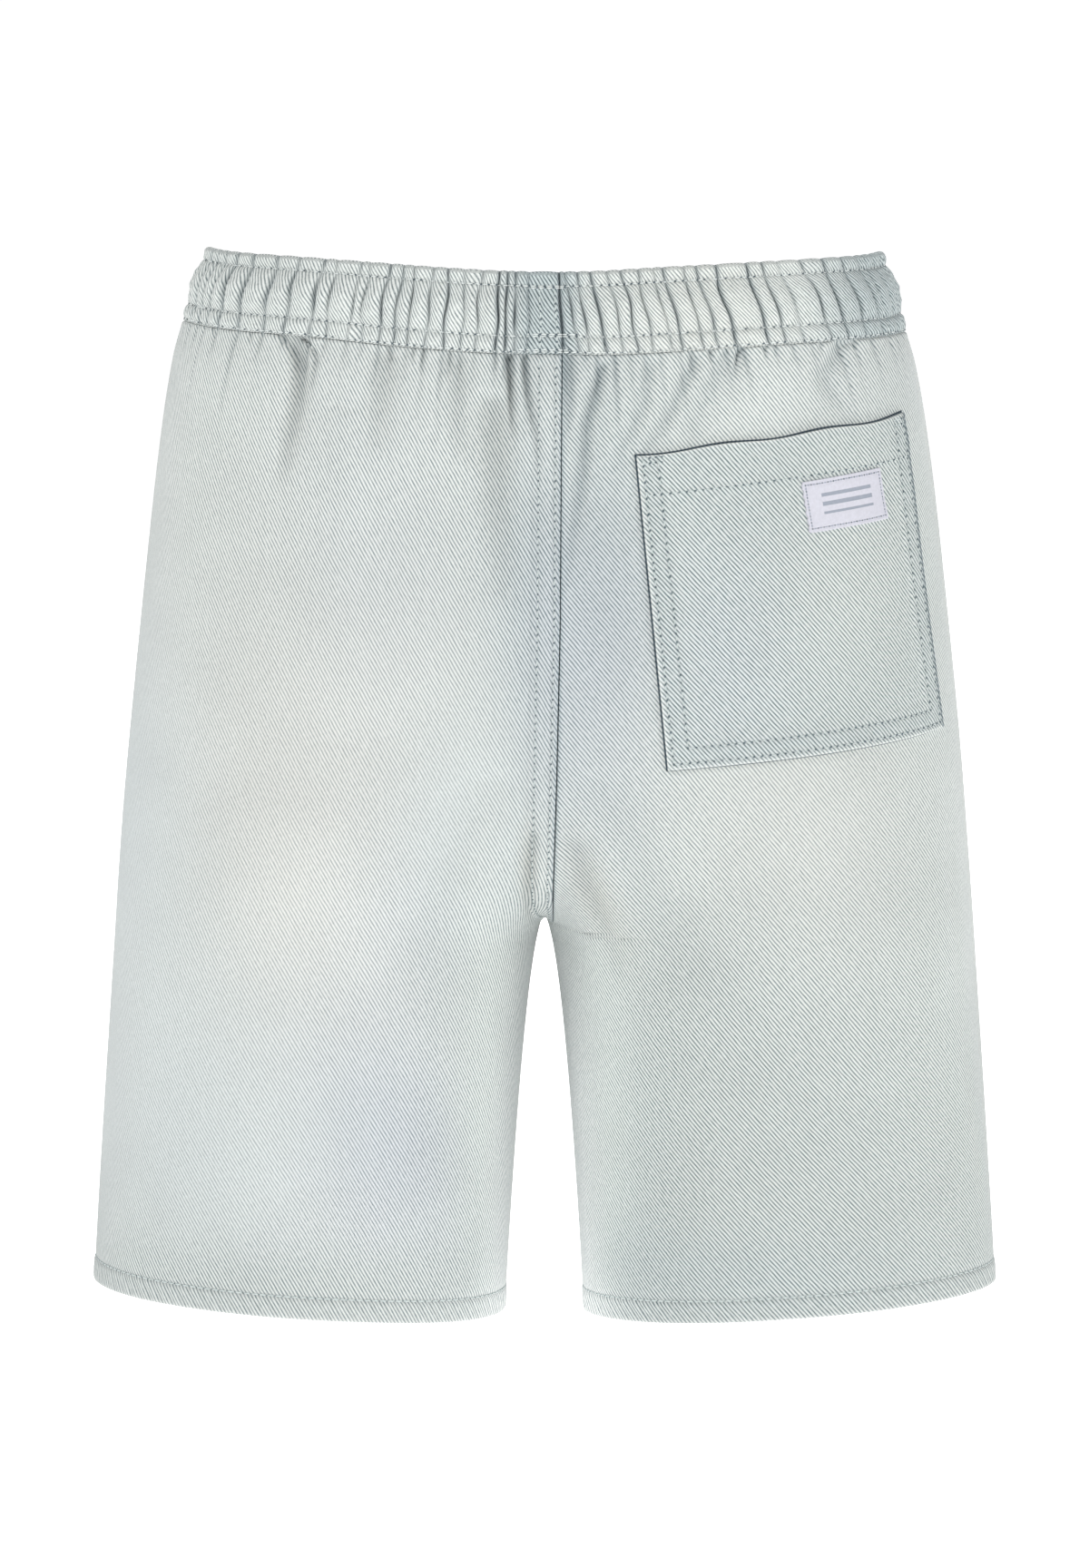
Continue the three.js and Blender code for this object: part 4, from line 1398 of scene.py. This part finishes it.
# Height of the pocket's outer face over the panel.
def pocketRelief(s, t):
    sides = np.clip(np.minimum(s, 1 - s) * pocketWidth, 0.0, 200.0)
    below = (1 - t) * pocketHeight
    fromTop = t * pocketHeight
    edge = np.minimum(sides, below)
    bulge = pocket["bulge"] * smooth((edge - 9) / 30) * smooth((fromTop - 6) / 40 + 0.35)
    mouth = pocket["mouth"] * np.sin(math.pi * np.clip(s, 0, 1)) ** 0.7
    mouth = mouth * np.exp(-fromTop / 14.0) * (1 + 0.3 * np.sin(21 * s + 1.0))
    grooves = (
        np.exp(-((edge - pocket["edgeRow"]) / 0.7) ** 2)
        + np.exp(-((edge - pocket["innerRow"]) / 0.8) ** 2)
    )
    hemRow = np.exp(-((fromTop - pocket["hemDepth"]) / 0.8) ** 2)
    alongEdge = np.where(sides < below, t * pocketHeight, s * pocketWidth)
    ripple = 0.16 * np.sin(alongEdge / 7.5 * 2 * math.pi + 1.5 * np.sin(alongEdge / 19.0))
    ripple = ripple * np.exp(-((edge - 5.2) / 3.4) ** 2)
    inHem = 1 - smooth((fromTop - pocket["hemDepth"]) / 0.8)
    hemRipple = 0.14 * np.sin(s * 92.0 + fromTop * 0.35) * inHem
    turned = 1 - smooth((edge - pocket["turnedIn"]) / 1.2)
    thick = pocket["lift"] + pocket["wall"] + bulge + mouth
    thick = thick + pocket["hemRaise"] * np.maximum(inHem, 0.7 * turned)
    grooved = pocket["rowGroove"] * grooves + pocket["hemGroove"] * hemRow
    return thick - grooved + ripple + hemRipple


def pocketPoint(s, t, out):
    across, level = cornerPlace(pocket, s, t)
    flatLevel, flatAcross = level.ravel(), across.ravel()[:, None]
    points, normal, _ = panelSkin(flatLevel, flatAcross, "back", 1, plainEdges=True)
    points = points + normal * np.ravel(out)[:, None, None]
    return points.reshape(*s.shape, 3), normal.reshape(*s.shape, 3)


# The pocket's edge steps down to a narrow border that lies on the panel, painted dark as
# the shade along the pocket's edge.
def edgeSpacing(count, size, before, after):
    near = np.array([0.0, 0.08, 0.2, 0.45, 0.9, 1.5, 2.3, 3.1, 4.4, 5.8, 7.2, 8.2, 9.2, 10.4, 11.6])
    near = near / size
    between = np.linspace(near[-1], 1 - near[-1], count - 2 * len(near) + 2)[1:-1]
    start = np.array([-before, -0.15, -0.03]) / size
    end = np.array([0.03, 0.15, after]) / size
    return np.concatenate([start, near, between, 1 - near[::-1], 1 + end])


# The colour of the pocket's outer face, with painted shade along its stitch rows, its outer
# edge and the border round it. edge is each point's distance from the nearest edge.
def pocketTone(points, s, t, edge):
    tone = washTone(points, pocketWash, "pocket", 1.0)
    seamed = np.minimum(np.minimum(s, 1 - s) * pocketWidth, (1 - t) * pocketHeight)
    tone = washOver(tone, "seam", 0.26 * np.exp(-((seamed - 5.2) / 3.6) ** 4))
    tone = washOver(tone, "worn", 0.4 * np.exp(-((edge - 0.3) / 0.4) ** 2))
    # Painted shade in the stitch rows' grooves.
    rows = np.exp(-((seamed - pocket["edgeRow"]) / 0.6) ** 2)
    rows = rows + np.exp(-((seamed - pocket["innerRow"]) / 0.6) ** 2)
    rows = rows + np.exp(-((t * pocketHeight - pocket["hemDepth"]) / 0.6) ** 2)
    tone = darken(tone, 0.2 * rows)
    # Painted shade on the pocket's outer edge and on the border round it.
    outerSide = np.exp(-(((1 - s) * pocketWidth - 0.4) / 1.1) ** 2) * (t > 0)
    tone = washOver(tone, "darkPaintedShade", 1.1 * outerSide * (s < 1.001))
    border = edge < pocket["borderFrom"]
    tone = washOver(tone, "deepPaintedShade", 1.0 * border * (s < 1.0))
    return washOver(tone, "darkPaintedShade", 1.0 * border * (s > 1.0))


def makePocket():
    s, t = np.meshgrid(
        edgeSpacing(pocket["columns"], pocketWidth, *pocket["sideBorder"]),
        edgeSpacing(pocket["rows"], pocketHeight, *pocket["endBorder"]),
    )
    relief = pocketRelief(s, t)
    sides = np.minimum(s, 1 - s) * pocketWidth
    ends = np.minimum(t, 1 - t) * pocketHeight
    edge = np.minimum(sides, ends)
    border = edge < pocket["borderFrom"]
    over = np.where(border, 0.12, relief - rolled(np.maximum(edge, 0.0), pocket["edgeRadius"]))
    under = np.maximum(relief - pocket["wall"] - pocket["hemRaise"], pocket["lift"])
    under = np.where(border, -0.3, under)
    wavy = 0.5 * np.sin(s * 17.0) * np.exp(-t * pocketHeight / 4.0) / pocketHeight
    outer, _ = pocketPoint(s, t + wavy, over)
    inner, _ = pocketPoint(s, t + wavy, under)
    tone = pocketTone(outer, s, t, edge)
    # The pocket's underside is painted grey as shade, which darkens the insides of its edges too.
    tones = np.stack([tone, np.broadcast_to(washed("greyPaintedShade"), tone.shape)])
    across, level = cornerPlace(pocket, s, t)
    weave = weaveCoordinates(across, -level, pocket["steepness"], panelLook["twillPitch"])
    return makeWall("patchPocket", outer, inner, tones, weave, pocketDenim)


patchPocket = makePocket()
print("pocket made")

# The sewn label, by its corners on the same cloth as the pocket.
label = {
    "topInner": (101.2, -84.0),
    "topOuter": (137.6, -80.6),
    "bottomInner": (104.6, -103.6),
    "bottomOuter": (142.2, -100.4),
    "wall": 0.55,
    "columns": 44,
    "rows": 28,
    "fray": 0.45,
}


# The pocket's own s and t under a place on the cloth.
def onPocket(across, level):
    s = np.full_like(across, 0.6)
    t = np.full_like(across, 0.25)
    for _ in range(6):
        a, l = cornerPlace(pocket, s, t)
        s = s + (across - a) / pocketWidth
        t = t - (level - l) / pocketHeight
    return s, t


def labelPoint(s, t, lift):
    across, level = cornerPlace(label, s, t)
    ps, pt = onPocket(across, level)
    return pocketPoint(ps, pt, pocketRelief(ps, pt) + lift)


# Height of the label's face over the pocket.
def labelRelief(s, t):
    edge = np.minimum(np.minimum(s, 1 - s) * labelWidth, np.minimum(t, 1 - t) * labelHeight)
    crown = 0.14 * np.sin(s * 9.0 + 2.0 * t) + 0.12 * np.sin(t * 7.0 + 1.0)
    dent = 0.2 * np.exp(-((edge - 1.3) / 0.6) ** 2)
    return label["wall"] + 0.12 + crown - dent - rolled(edge, 0.25)


# Shares from 0 to 1 that lie close together at both ends.
def closeAtEnds(near, gap, count):
    near = np.array(near)
    between = np.linspace(near[-1] + gap, 1 - near[-1] - gap, count)
    return np.concatenate([near, between, 1 - near[::-1]])


def makeLabel():
    s, t = np.meshgrid(
        closeAtEnds([0.0, 0.004, 0.012, 0.03], 0.02, label["columns"]),
        closeAtEnds([0.0, 0.006, 0.02, 0.05], 0.03, label["rows"]),
    )
    fray = np.sin(t * 61.0) * np.sin(t * 23.0 + 1.0) * label["fray"] / labelWidth
    shifted = s + fray * np.exp(-s * 26.0)
    outer, _ = labelPoint(shifted, t, labelRelief(s, t))
    inner, _ = labelPoint(shifted, t, np.full_like(s, -0.25))
    tones = np.ones((2, *s.shape, 4))
    weave = np.stack([s, t], axis=-1)
    return makeWall("wovenLabel", outer, inner, tones, weave, tape)


wovenLabel = makeLabel()
print("label made")

# Sizes of a stitch. A stitch row is made of its points, the thread's direction at each, and the
# cloth's outward direction.
stitching = {
    "pitch": 3.2,
    "length": 2.5,
    "width": 0.62,
    "height": 0.42,
    "arch": 0.1,
    "hole": 0.8,
    "holeShape": (0.62, 0.4, 0.22),  # its length, width and depth as shares of its size
    "seed": 5,
}


def stitchTree(name, usedThread):
    tree = bpy.data.node_groups.new(name, "GeometryNodeTree")
    addSocket = tree.interface.new_socket
    addSocket("Geometry", in_out="INPUT", socket_type="NodeSocketGeometry")
    for size in ("Stitch Length", "Stitch Width", "Stitch Height", "Arch", "Hole Size", "Hole Offset"):
        addSocket(size, in_out="INPUT", socket_type="NodeSocketFloat")
    addSocket("Seed", in_out="INPUT", socket_type="NodeSocketInt")
    addSocket("Geometry", in_out="OUTPUT", socket_type="NodeSocketGeometry")
    given = addNode(tree, "NodeGroupInput").outputs
    out, along = (
        addNode(tree, "GeometryNodeInputNamedAttribute", {"Name": key}, data_type="FLOAT_VECTOR")
        for key in ("out", "along")
    )
    turnAlong = addNode(tree, "FunctionNodeAlignRotationToVector", {
        "Vector": along.outputs["Attribute"],
    }, axis="X")
    turnOut = addNode(tree, "FunctionNodeAlignRotationToVector", {
        "Rotation": turnAlong.outputs["Rotation"], "Vector": out.outputs["Attribute"],
    }, axis="Z", pivot_axis="X")
    vary = addNode(tree, "FunctionNodeRandomValue", {
        "Min": (0.9, 0.9, 0.85), "Max": (1.06, 1.15, 1.15), "Seed": given["Seed"],
    }, data_type="FLOAT_VECTOR")

    # a stitch is a small flattened bead, long along X, that bends down at its ends
    bead = addNode(tree, "GeometryNodeMeshUVSphere", {"Segments": 6, "Rings": 6, "Radius": 1.0})
    fullSize = addNode(tree, "ShaderNodeCombineXYZ", {
        "X": given["Stitch Height"], "Y": given["Stitch Width"], "Z": given["Stitch Length"],
    })
    beadSize = addNode(tree, "ShaderNodeVectorMath", {
        0: fullSize.outputs[0], "Scale": 0.5,
    }, operation="SCALE")
    laid = addNode(tree, "GeometryNodeTransform", {
        "Geometry": bead.outputs["Mesh"], "Rotation": (0.0, math.pi / 2, 0.0),
        "Scale": beadSize.outputs[0],
    })
    at = addNode(tree, "GeometryNodeInputPosition")
    split = addNode(tree, "ShaderNodeSeparateXYZ", {"Vector": at.outputs[0]})
    halfLength = addNode(tree, "ShaderNodeMath", {
        0: given["Stitch Length"], 1: 0.5,
    }, operation="MULTIPLY")
    share = addNode(tree, "ShaderNodeMath", {
        0: split.outputs["X"], 1: halfLength.outputs[0],
    }, operation="DIVIDE")
    squared = addNode(tree, "ShaderNodeMath", {
        0: share.outputs[0], 1: share.outputs[0],
    }, operation="MULTIPLY")
    fall = addNode(tree, "ShaderNodeMath", {
        0: squared.outputs[0], 1: given["Arch"],
    }, operation="MULTIPLY")
    offset = addNode(tree, "ShaderNodeVectorMath", {
        0: (0.0, 0.0, -1.0), "Scale": fall.outputs[0],
    }, operation="SCALE")
    arched = addNode(tree, "GeometryNodeSetPosition", {
        "Geometry": laid.outputs[0], "Offset": offset.outputs[0],
    })
    # the dimple in the cloth where two stitches meet
    dimple = addNode(tree, "GeometryNodeMeshUVSphere", {"Segments": 6, "Rings": 4, "Radius": 1.0})
    dimpleSize = addNode(tree, "ShaderNodeVectorMath", {
        0: stitching["holeShape"], "Scale": given["Hole Size"],
    }, operation="SCALE")
    dimplePlace = addNode(tree, "ShaderNodeCombineXYZ", {"X": given["Hole Offset"]})
    sunk = addNode(tree, "GeometryNodeTransform", {
        "Geometry": dimple.outputs["Mesh"], "Translation": dimplePlace.outputs[0],
        "Scale": dimpleSize.outputs[0],
    })
    joined = addNode(tree, "GeometryNodeJoinGeometry")
    for shape, material in ((arched, usedThread), (sunk, needleHole)):
        placed = addNode(tree, "GeometryNodeInstanceOnPoints", {
            "Points": given["Geometry"], "Instance": shape.outputs[0],
            "Rotation": turnOut.outputs["Rotation"], "Scale": vary.outputs[0],
        })
        real = addNode(tree, "GeometryNodeRealizeInstances", {"Geometry": placed.outputs[0]})
        soft = addNode(tree, "GeometryNodeSetShadeSmooth", {"Geometry": real.outputs[0]})
        painted = addNode(tree, "GeometryNodeSetMaterial", {
            "Geometry": soft.outputs[0], "Material": material,
        })
        tree.links.new(painted.outputs[0], joined.inputs[0])
    addNode(tree, "NodeGroupOutput", {"Geometry": joined.outputs[0]})
    return tree


seamStitchTree = stitchTree("seamStitches", thread)
bandStitchTree = stitchTree("bandStitches", bandThread)
labelStitchTree = stitchTree("labelStitches", labelThread)


# Spaces stitches evenly along a line of close points.
def stitchesAlong(points, normals, pitch, closed=False):
    if closed:
        points = np.vstack([points, points[:1]])
        normals = np.vstack([normals, normals[:1]])
    steps = np.linalg.norm(np.diff(points, axis=0), axis=1)
    run = np.concatenate([[0.0], np.cumsum(steps)])
    count = max(2, round(run[-1] / pitch))
    centres = (np.arange(count) + 0.5) * run[-1] / count

    def pick(values, places):
        return np.stack([np.interp(places, run, values[:, n]) for n in range(3)], axis=1)

    half = 0.4 * pitch
    ahead = pick(points, np.minimum(centres + half, run[-1]))
    along = ahead - pick(points, np.maximum(centres - half, 0))
    return pick(points, centres), unit(along), unit(pick(normals, centres))


def unit(vectors):
    return vectors / np.linalg.norm(vectors, axis=-1, keepdims=True)


def makeStitches(name, rows, tree, sizes=None):
    sizes = {**stitching, **(sizes or {})}
    points, along, out = (np.concatenate([row[n] for row in rows]) for n in range(3))
    mesh = bpy.data.meshes.new(name)
    mesh.from_pydata((points * millimetre).tolist(), [], [])
    for key, values in (("along", along), ("out", out)):
        attribute = mesh.attributes.new(key, "FLOAT_VECTOR", "POINT")
        attribute.data.foreach_set("vector", values.astype(np.float32).ravel())
    piece = addObject(name, mesh)
    modifier = piece.modifiers.new("stitches", "NODES")
    modifier.node_group = tree
    values = {
        "Stitch Length": sizes["length"] * millimetre,
        "Stitch Width": sizes["width"] * millimetre,
        "Stitch Height": sizes["height"] * millimetre,
        "Arch": sizes["arch"] * millimetre,
        "Hole Size": sizes["hole"] * millimetre,
        "Hole Offset": 0.5 * sizes["pitch"] * millimetre,
        "Seed": sizes["seed"],
    }
    for item in tree.interface.items_tree:
        if item.in_out == "INPUT" and item.name in values:
            modifier[item.identifier] = values[item.name]
    depsgraph = bpy.context.evaluated_depsgraph_get()
    solid = bpy.data.meshes.new_from_object(piece.evaluated_get(depsgraph), depsgraph=depsgraph)
    piece.modifiers.clear()
    piece.data = solid
    return piece


# A stitch row round the band's outer or inner face, or only between two places across the back.
def bandStitchRow(below, shown, only=None):
    which, t = bandColumns()
    facing = 1 if shown else -1
    out = 0.0 if shown else -band["innerFace"]
    _, total = bandRow(below, out, "outer" if shown else "inner", which, t)
    total = total + 0.05 * facing
    share = ringShares(below, which, t)
    points, normals = ringPoint(np.array([below]), share, total[None, :])
    row = stitchesAlong(points[0], facing * normals[0], stitching["pitch"], closed=True)
    if only:
        kept = (row[0][:, 1] < 0) & (row[0][:, 0] > only[0]) & (row[0][:, 0] < only[1])
        row = tuple(part[kept] for part in row)
    return row


# A row down the band beside its own join, as far from the join as the seat seam's rows are.
def bandJoinRow(fromJoin):
    below = np.linspace(band["rows"][0] + 1, band["rows"][2] - 1, 60)
    last = len(gathers["share"]) - 1
    t = 1 - fromJoin / gathers["width"][last]
    points, normals = [], []
    for down in below:
        share = ringShares(down, np.array([last]), np.array([t]))
        out, total = bandRow(down, 0.0, "outer", np.array([last]), np.array([t]))
        point, normal = ringPoint(np.array([down]), share, total[None, :] + 0.05)
        points.append(point[0, 0])
        normals.append(normal[0, 0])
    return stitchesAlong(np.array(points), np.array(normals), stitching["pitch"])


# each row's two ends run over each other for a few stitches beside the join
doubled = [
    bandStitchRow(below + shift, True, only)
    for below, shift, only in zip(band["rows"], (0.7, -0.8, -0.8), ((-7, 8), (-9, 12), (-9, 9)))
]
bandStitches = makeStitches(
    "bandStitches",
    [bandStitchRow(below, side) for below in band["rows"] for side in (True, False)] + doubled,
    bandStitchTree,
)
bandJoinStitches = makeStitches(
    "bandJoinStitches", [bandJoinRow(fromJoin) for fromJoin in (2.0, 8.2)], seamStitchTree
)


def panelLine(level, across, face, side, out=0.08):
    level = np.asarray(level, float)
    across = np.broadcast_to(np.asarray(across, float), level.shape)[:, None]
    points, normals, _ = panelSkin(level, across, face, side, out=out)
    return mirrored(points[:, 0], side), mirrored(normals[:, 0], side)


def seatRow(face, side, fromSeam, top, bottom):
    level = np.linspace(top, bottom, 240)
    across = side * seamShift(level, face) + fromSeam
    return stitchesAlong(*panelLine(level, across, face, side), stitching["pitch"])


seatStitches, frontStitches = (
    makeStitches(f"{name}SeamStitches", [
        seatRow(face, -1, fromSeam, -34.0, -262.0) for fromSeam in panelLook["seamRows"]
    ], seamStitchTree, {"width": 0.46, "height": 0.3, "hole": 0.7})
    for name, face in (("seat", "back"), ("front", "front"))
)


def hemRow(side):
    level = np.array([form["hemLevel"] + panelLook["hemDepth"]])
    parts = []
    for face in ("back", "front"):
        reach = sideReach(level, face)[0]
        across = np.linspace(0.2, reach - 0.2, 300)
        points, normals, _ = panelSkin(level, across[None, :], face, side, out=0.12)
        parts.append((mirrored(points[0], side), mirrored(normals[0], side)))
    points, normals = (np.vstack([back, front[::-1]]) for back, front in zip(*parts))
    return stitchesAlong(points, normals, stitching["pitch"], closed=True)


# the hem's thread lies close and slack, so its needle holes hardly show
hemStitches = makeStitches("hemStitches", [hemRow(1), hemRow(-1)], seamStitchTree, {
    "length": 3.0, "width": 0.7, "hole": 0.5,
})


# A straight stitch row on the pocket between two places, each in millimetres from the pocket's
# inner top corner: across and down.
def pocketRow(start, end, pitch=None):
    share = np.linspace(0, 1, 120)
    s = mix(start[0], end[0], share) / pocketWidth
    t = mix(start[1], end[1], share) / pocketHeight
    points, normals = pocketPoint(s, t, pocketRelief(s, t) + 0.06)
    return stitchesAlong(points, normals, pitch or stitching["pitch"])


def pocketRows():
    rows = []
    for inset in (pocket["edgeRow"], pocket["innerRow"]):
        left, right = inset, pocketWidth - inset
        bottom = pocketHeight - inset
        top = 1.4 if inset == pocket["edgeRow"] else 3.4
        rows.append(pocketRow((left, top), (left, bottom)))
        rows.append(pocketRow((left, bottom), (right, bottom)))
        rows.append(pocketRow((right, bottom), (right, top)))
    hem = pocket["hemDepth"]
    rows.append(pocketRow((pocket["edgeRow"], hem), (pocketWidth - pocket["edgeRow"], hem)))
    # the rows that close the strip between the two edge rows at the pocket's mouth
    for down in (1.4, 3.4):
        for left in (pocket["edgeRow"], pocketWidth - pocket["innerRow"] - 1.0):
            rows.append(pocketRow((left, down), (left + 7.0, down), pitch=2.2))
    return rows


pocketStitches = makeStitches("pocketStitches", pocketRows(), seamStitchTree, {
    "width": 0.5, "height": 0.36, "hole": 0.95,
})


def labelRows():
    rows = []
    corners = [(0.035, 0.075), (0.965, 0.075), (0.965, 0.925), (0.035, 0.925), (0.035, 0.075)]
    for start, end in zip(corners, corners[1:]):
        share = np.linspace(0, 1, 60)
        s = mix(start[0], end[0], share)
        t = mix(start[1], end[1], share)
        points, normals = labelPoint(s, t, labelRelief(s, t) + 0.04)
        rows.append(stitchesAlong(points, normals, 2.6))
    return rows


labelStitches = makeStitches("labelStitches", labelRows(), labelStitchTree, {
    "length": 1.3, "width": 0.6, "height": 0.4, "pitch": 2.6, "hole": 0.7,
})
print("stitches made")

# The waist isn't level all round: the band rides up at the sides and dips in the middle of the
# back. x, lift of the top edge, lift of the lower edge. It is one soft bend of every piece.
waistLine = np.array([
    (-141, 2.0, 5.0), (-126, 2.5, 4.6), (-100, 3.0, 4.4), (-85, 2.5, 3.7), (-66, 1.8, 2.1),
    (-40, 0.3, 0.2), (-15, -1.0, -1.2), (7, -1.3, -1.2), (25, -0.9, -1.8), (40, 0.2, -1.0),
    (80, 1.4, 0.7), (110, 1.5, 1.2), (134, 0.4, 0.8), (142, 0.2, 0.5),
], float)
waistBend = {
    "foot": 28.0,  # the lower edge's lift holds from here on down
    "reach": 90.0,  # the bend fades out over this length below the foot
    "front": 10.0,  # and over frontReach past this distance in front of the middle plane
    "frontReach": 40.0,
    "spots": 60,
}
# where the four seams meet, they pull the crotch up to a point
crotchPoint = {"lift": 1.7, "level": -265.0, "acrossReach": 1.9, "downReach": 5.0}


def bendPiece(piece):
    mesh = piece.data
    flat = np.empty(len(mesh.vertices) * 3, np.float32)
    mesh.vertices.foreach_get("co", flat)
    x, y, z = flat.reshape(-1, 3).T / millimetre
    down = np.clip(-z / waistBend["foot"], 0.0, 1.0)
    spots = np.linspace(waistLine[0, 0], waistLine[-1, 0], waistBend["spots"])
    columns = []
    for column in (1, 2):
        even = np.interp(spots, waistLine[:, 0], waistLine[:, column])
        soft = np.convolve(np.pad(even, 2, mode="edge"), np.ones(5) / 5, mode="valid")
        columns.append(np.interp(x, spots, soft))
    lift = mix(columns[0], columns[1], down)
    lift = lift * (1 - smooth((-waistBend["foot"] - z) / waistBend["reach"]))
    lift = lift * (1 - smooth((y - waistBend["front"]) / waistBend["frontReach"]))
    away = (x / crotchPoint["acrossReach"]) ** 2
    away = away + ((z - crotchPoint["level"]) / crotchPoint["downReach"]) ** 2
    lift = lift + crotchPoint["lift"] * np.exp(-away)
    flat = flat.reshape(-1, 3)
    flat[:, 2] += lift * millimetre
    mesh.vertices.foreach_set("co", flat.ravel())
    mesh.update()


# Each piece with its finish and the solid that it stands for.
dressing = [
    (waistband, "band_denim", ["waistband"]),
    (rightBack, "body_denim", ["back_panel_right"]),
    (leftBack, "body_denim", ["back_panel_left"]),
    (rightFront, "body_denim", ["front_panel_right"]),
    (leftFront, "body_denim", ["front_panel_left"]),
    (patchPocket, "pocket_denim", ["back_pocket"]),
    (wovenLabel, "label_tape", ["pocket_label"]),
    (bandStitches, "band_denim", []),
    (bandJoinStitches, "band_denim", []),
    (seatStitches, "body_denim", []),
    (frontStitches, "body_denim", []),
    (hemStitches, "body_denim", []),
    (pocketStitches, "pocket_denim", []),
    (labelStitches, "label_tape", []),
]
for piece, slotName, nodes in dressing:
    bendPiece(piece)
    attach(piece, "root")
    if nodes:
        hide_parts(*nodes)

# A large pale floor and soft studio light from the upper left.
studio = {
    "floorLevel": -0.62,
    "floorGlow": 0.74,
    "floorSize": 30.0,
    "aim": (0.0, 0.0, -0.2),
    "keyPlace": (-1.9, -2.1, 2.1),
    "keySize": 1.2,
    "keyPower": 56.0,
    "fillPlace": (2.8, -1.7, 0.6),
    "fillSize": 1.4,
    "fillPower": 40.0,
    "rimPlace": (0.4, 3.0, 1.6),
    "rimSize": 2.4,
    "rimPower": 55.0,
    "worldStrength": 0.3,
}


def makeFloor():
    half = studio["floorSize"] / 2
    z = studio["floorLevel"]
    mesh = bpy.data.meshes.new("paperFloor")
    corners = [(x * half, y * half, z) for x, y in ((-1, -1), (1, -1), (1, 1), (-1, 1))]
    mesh.from_pydata(corners, [], [(0, 1, 2, 3)])
    material, tree = newMaterial("whiteStudioPaper")
    tint = addNode(tree, "ShaderNodeMix", {
        0: pieceNoise(tree, 3.0, 2.0), 6: colour("FAFAFA"), 7: colour("FFFFFF"),
    }, data_type="RGBA")
    addSurface(tree, {
        "Base Color": tint.outputs[2], "Roughness": 0.9, "Specular IOR Level": 0.1,
        "Emission Color": (1.0, 1.0, 1.0, 1.0), "Emission Strength": studio["floorGlow"],
    })
    mesh.materials.append(material)
    addObject("paperFloor", mesh)


def makeLight(name, place, size, power):
    data = bpy.data.lights.new(name, "AREA")
    data.shape = "DISK"
    data.size = size
    data.energy = power
    lamp = addObject(name, data)
    lamp.location = place
    lamp.rotation_euler = (Vector(studio["aim"]) - Vector(place)).to_track_quat("-Z", "Y").to_euler()


makeFloor()
for lampName in ("key", "fill", "rim"):
    makeLight(
        f"{lampName}Light", studio[f"{lampName}Place"], studio[f"{lampName}Size"],
        studio[f"{lampName}Power"],
    )
world = bpy.data.worlds.new("studioWorld")
world.use_nodes = True
background = world.node_tree.nodes["Background"]
background.inputs["Color"].default_value = (1.0, 1.0, 1.0, 1.0)
background.inputs["Strength"].default_value = studio["worldStrength"]
bpy.context.scene.world = world
bpy.context.scene.view_settings.view_transform = "Standard"
print("studio made")
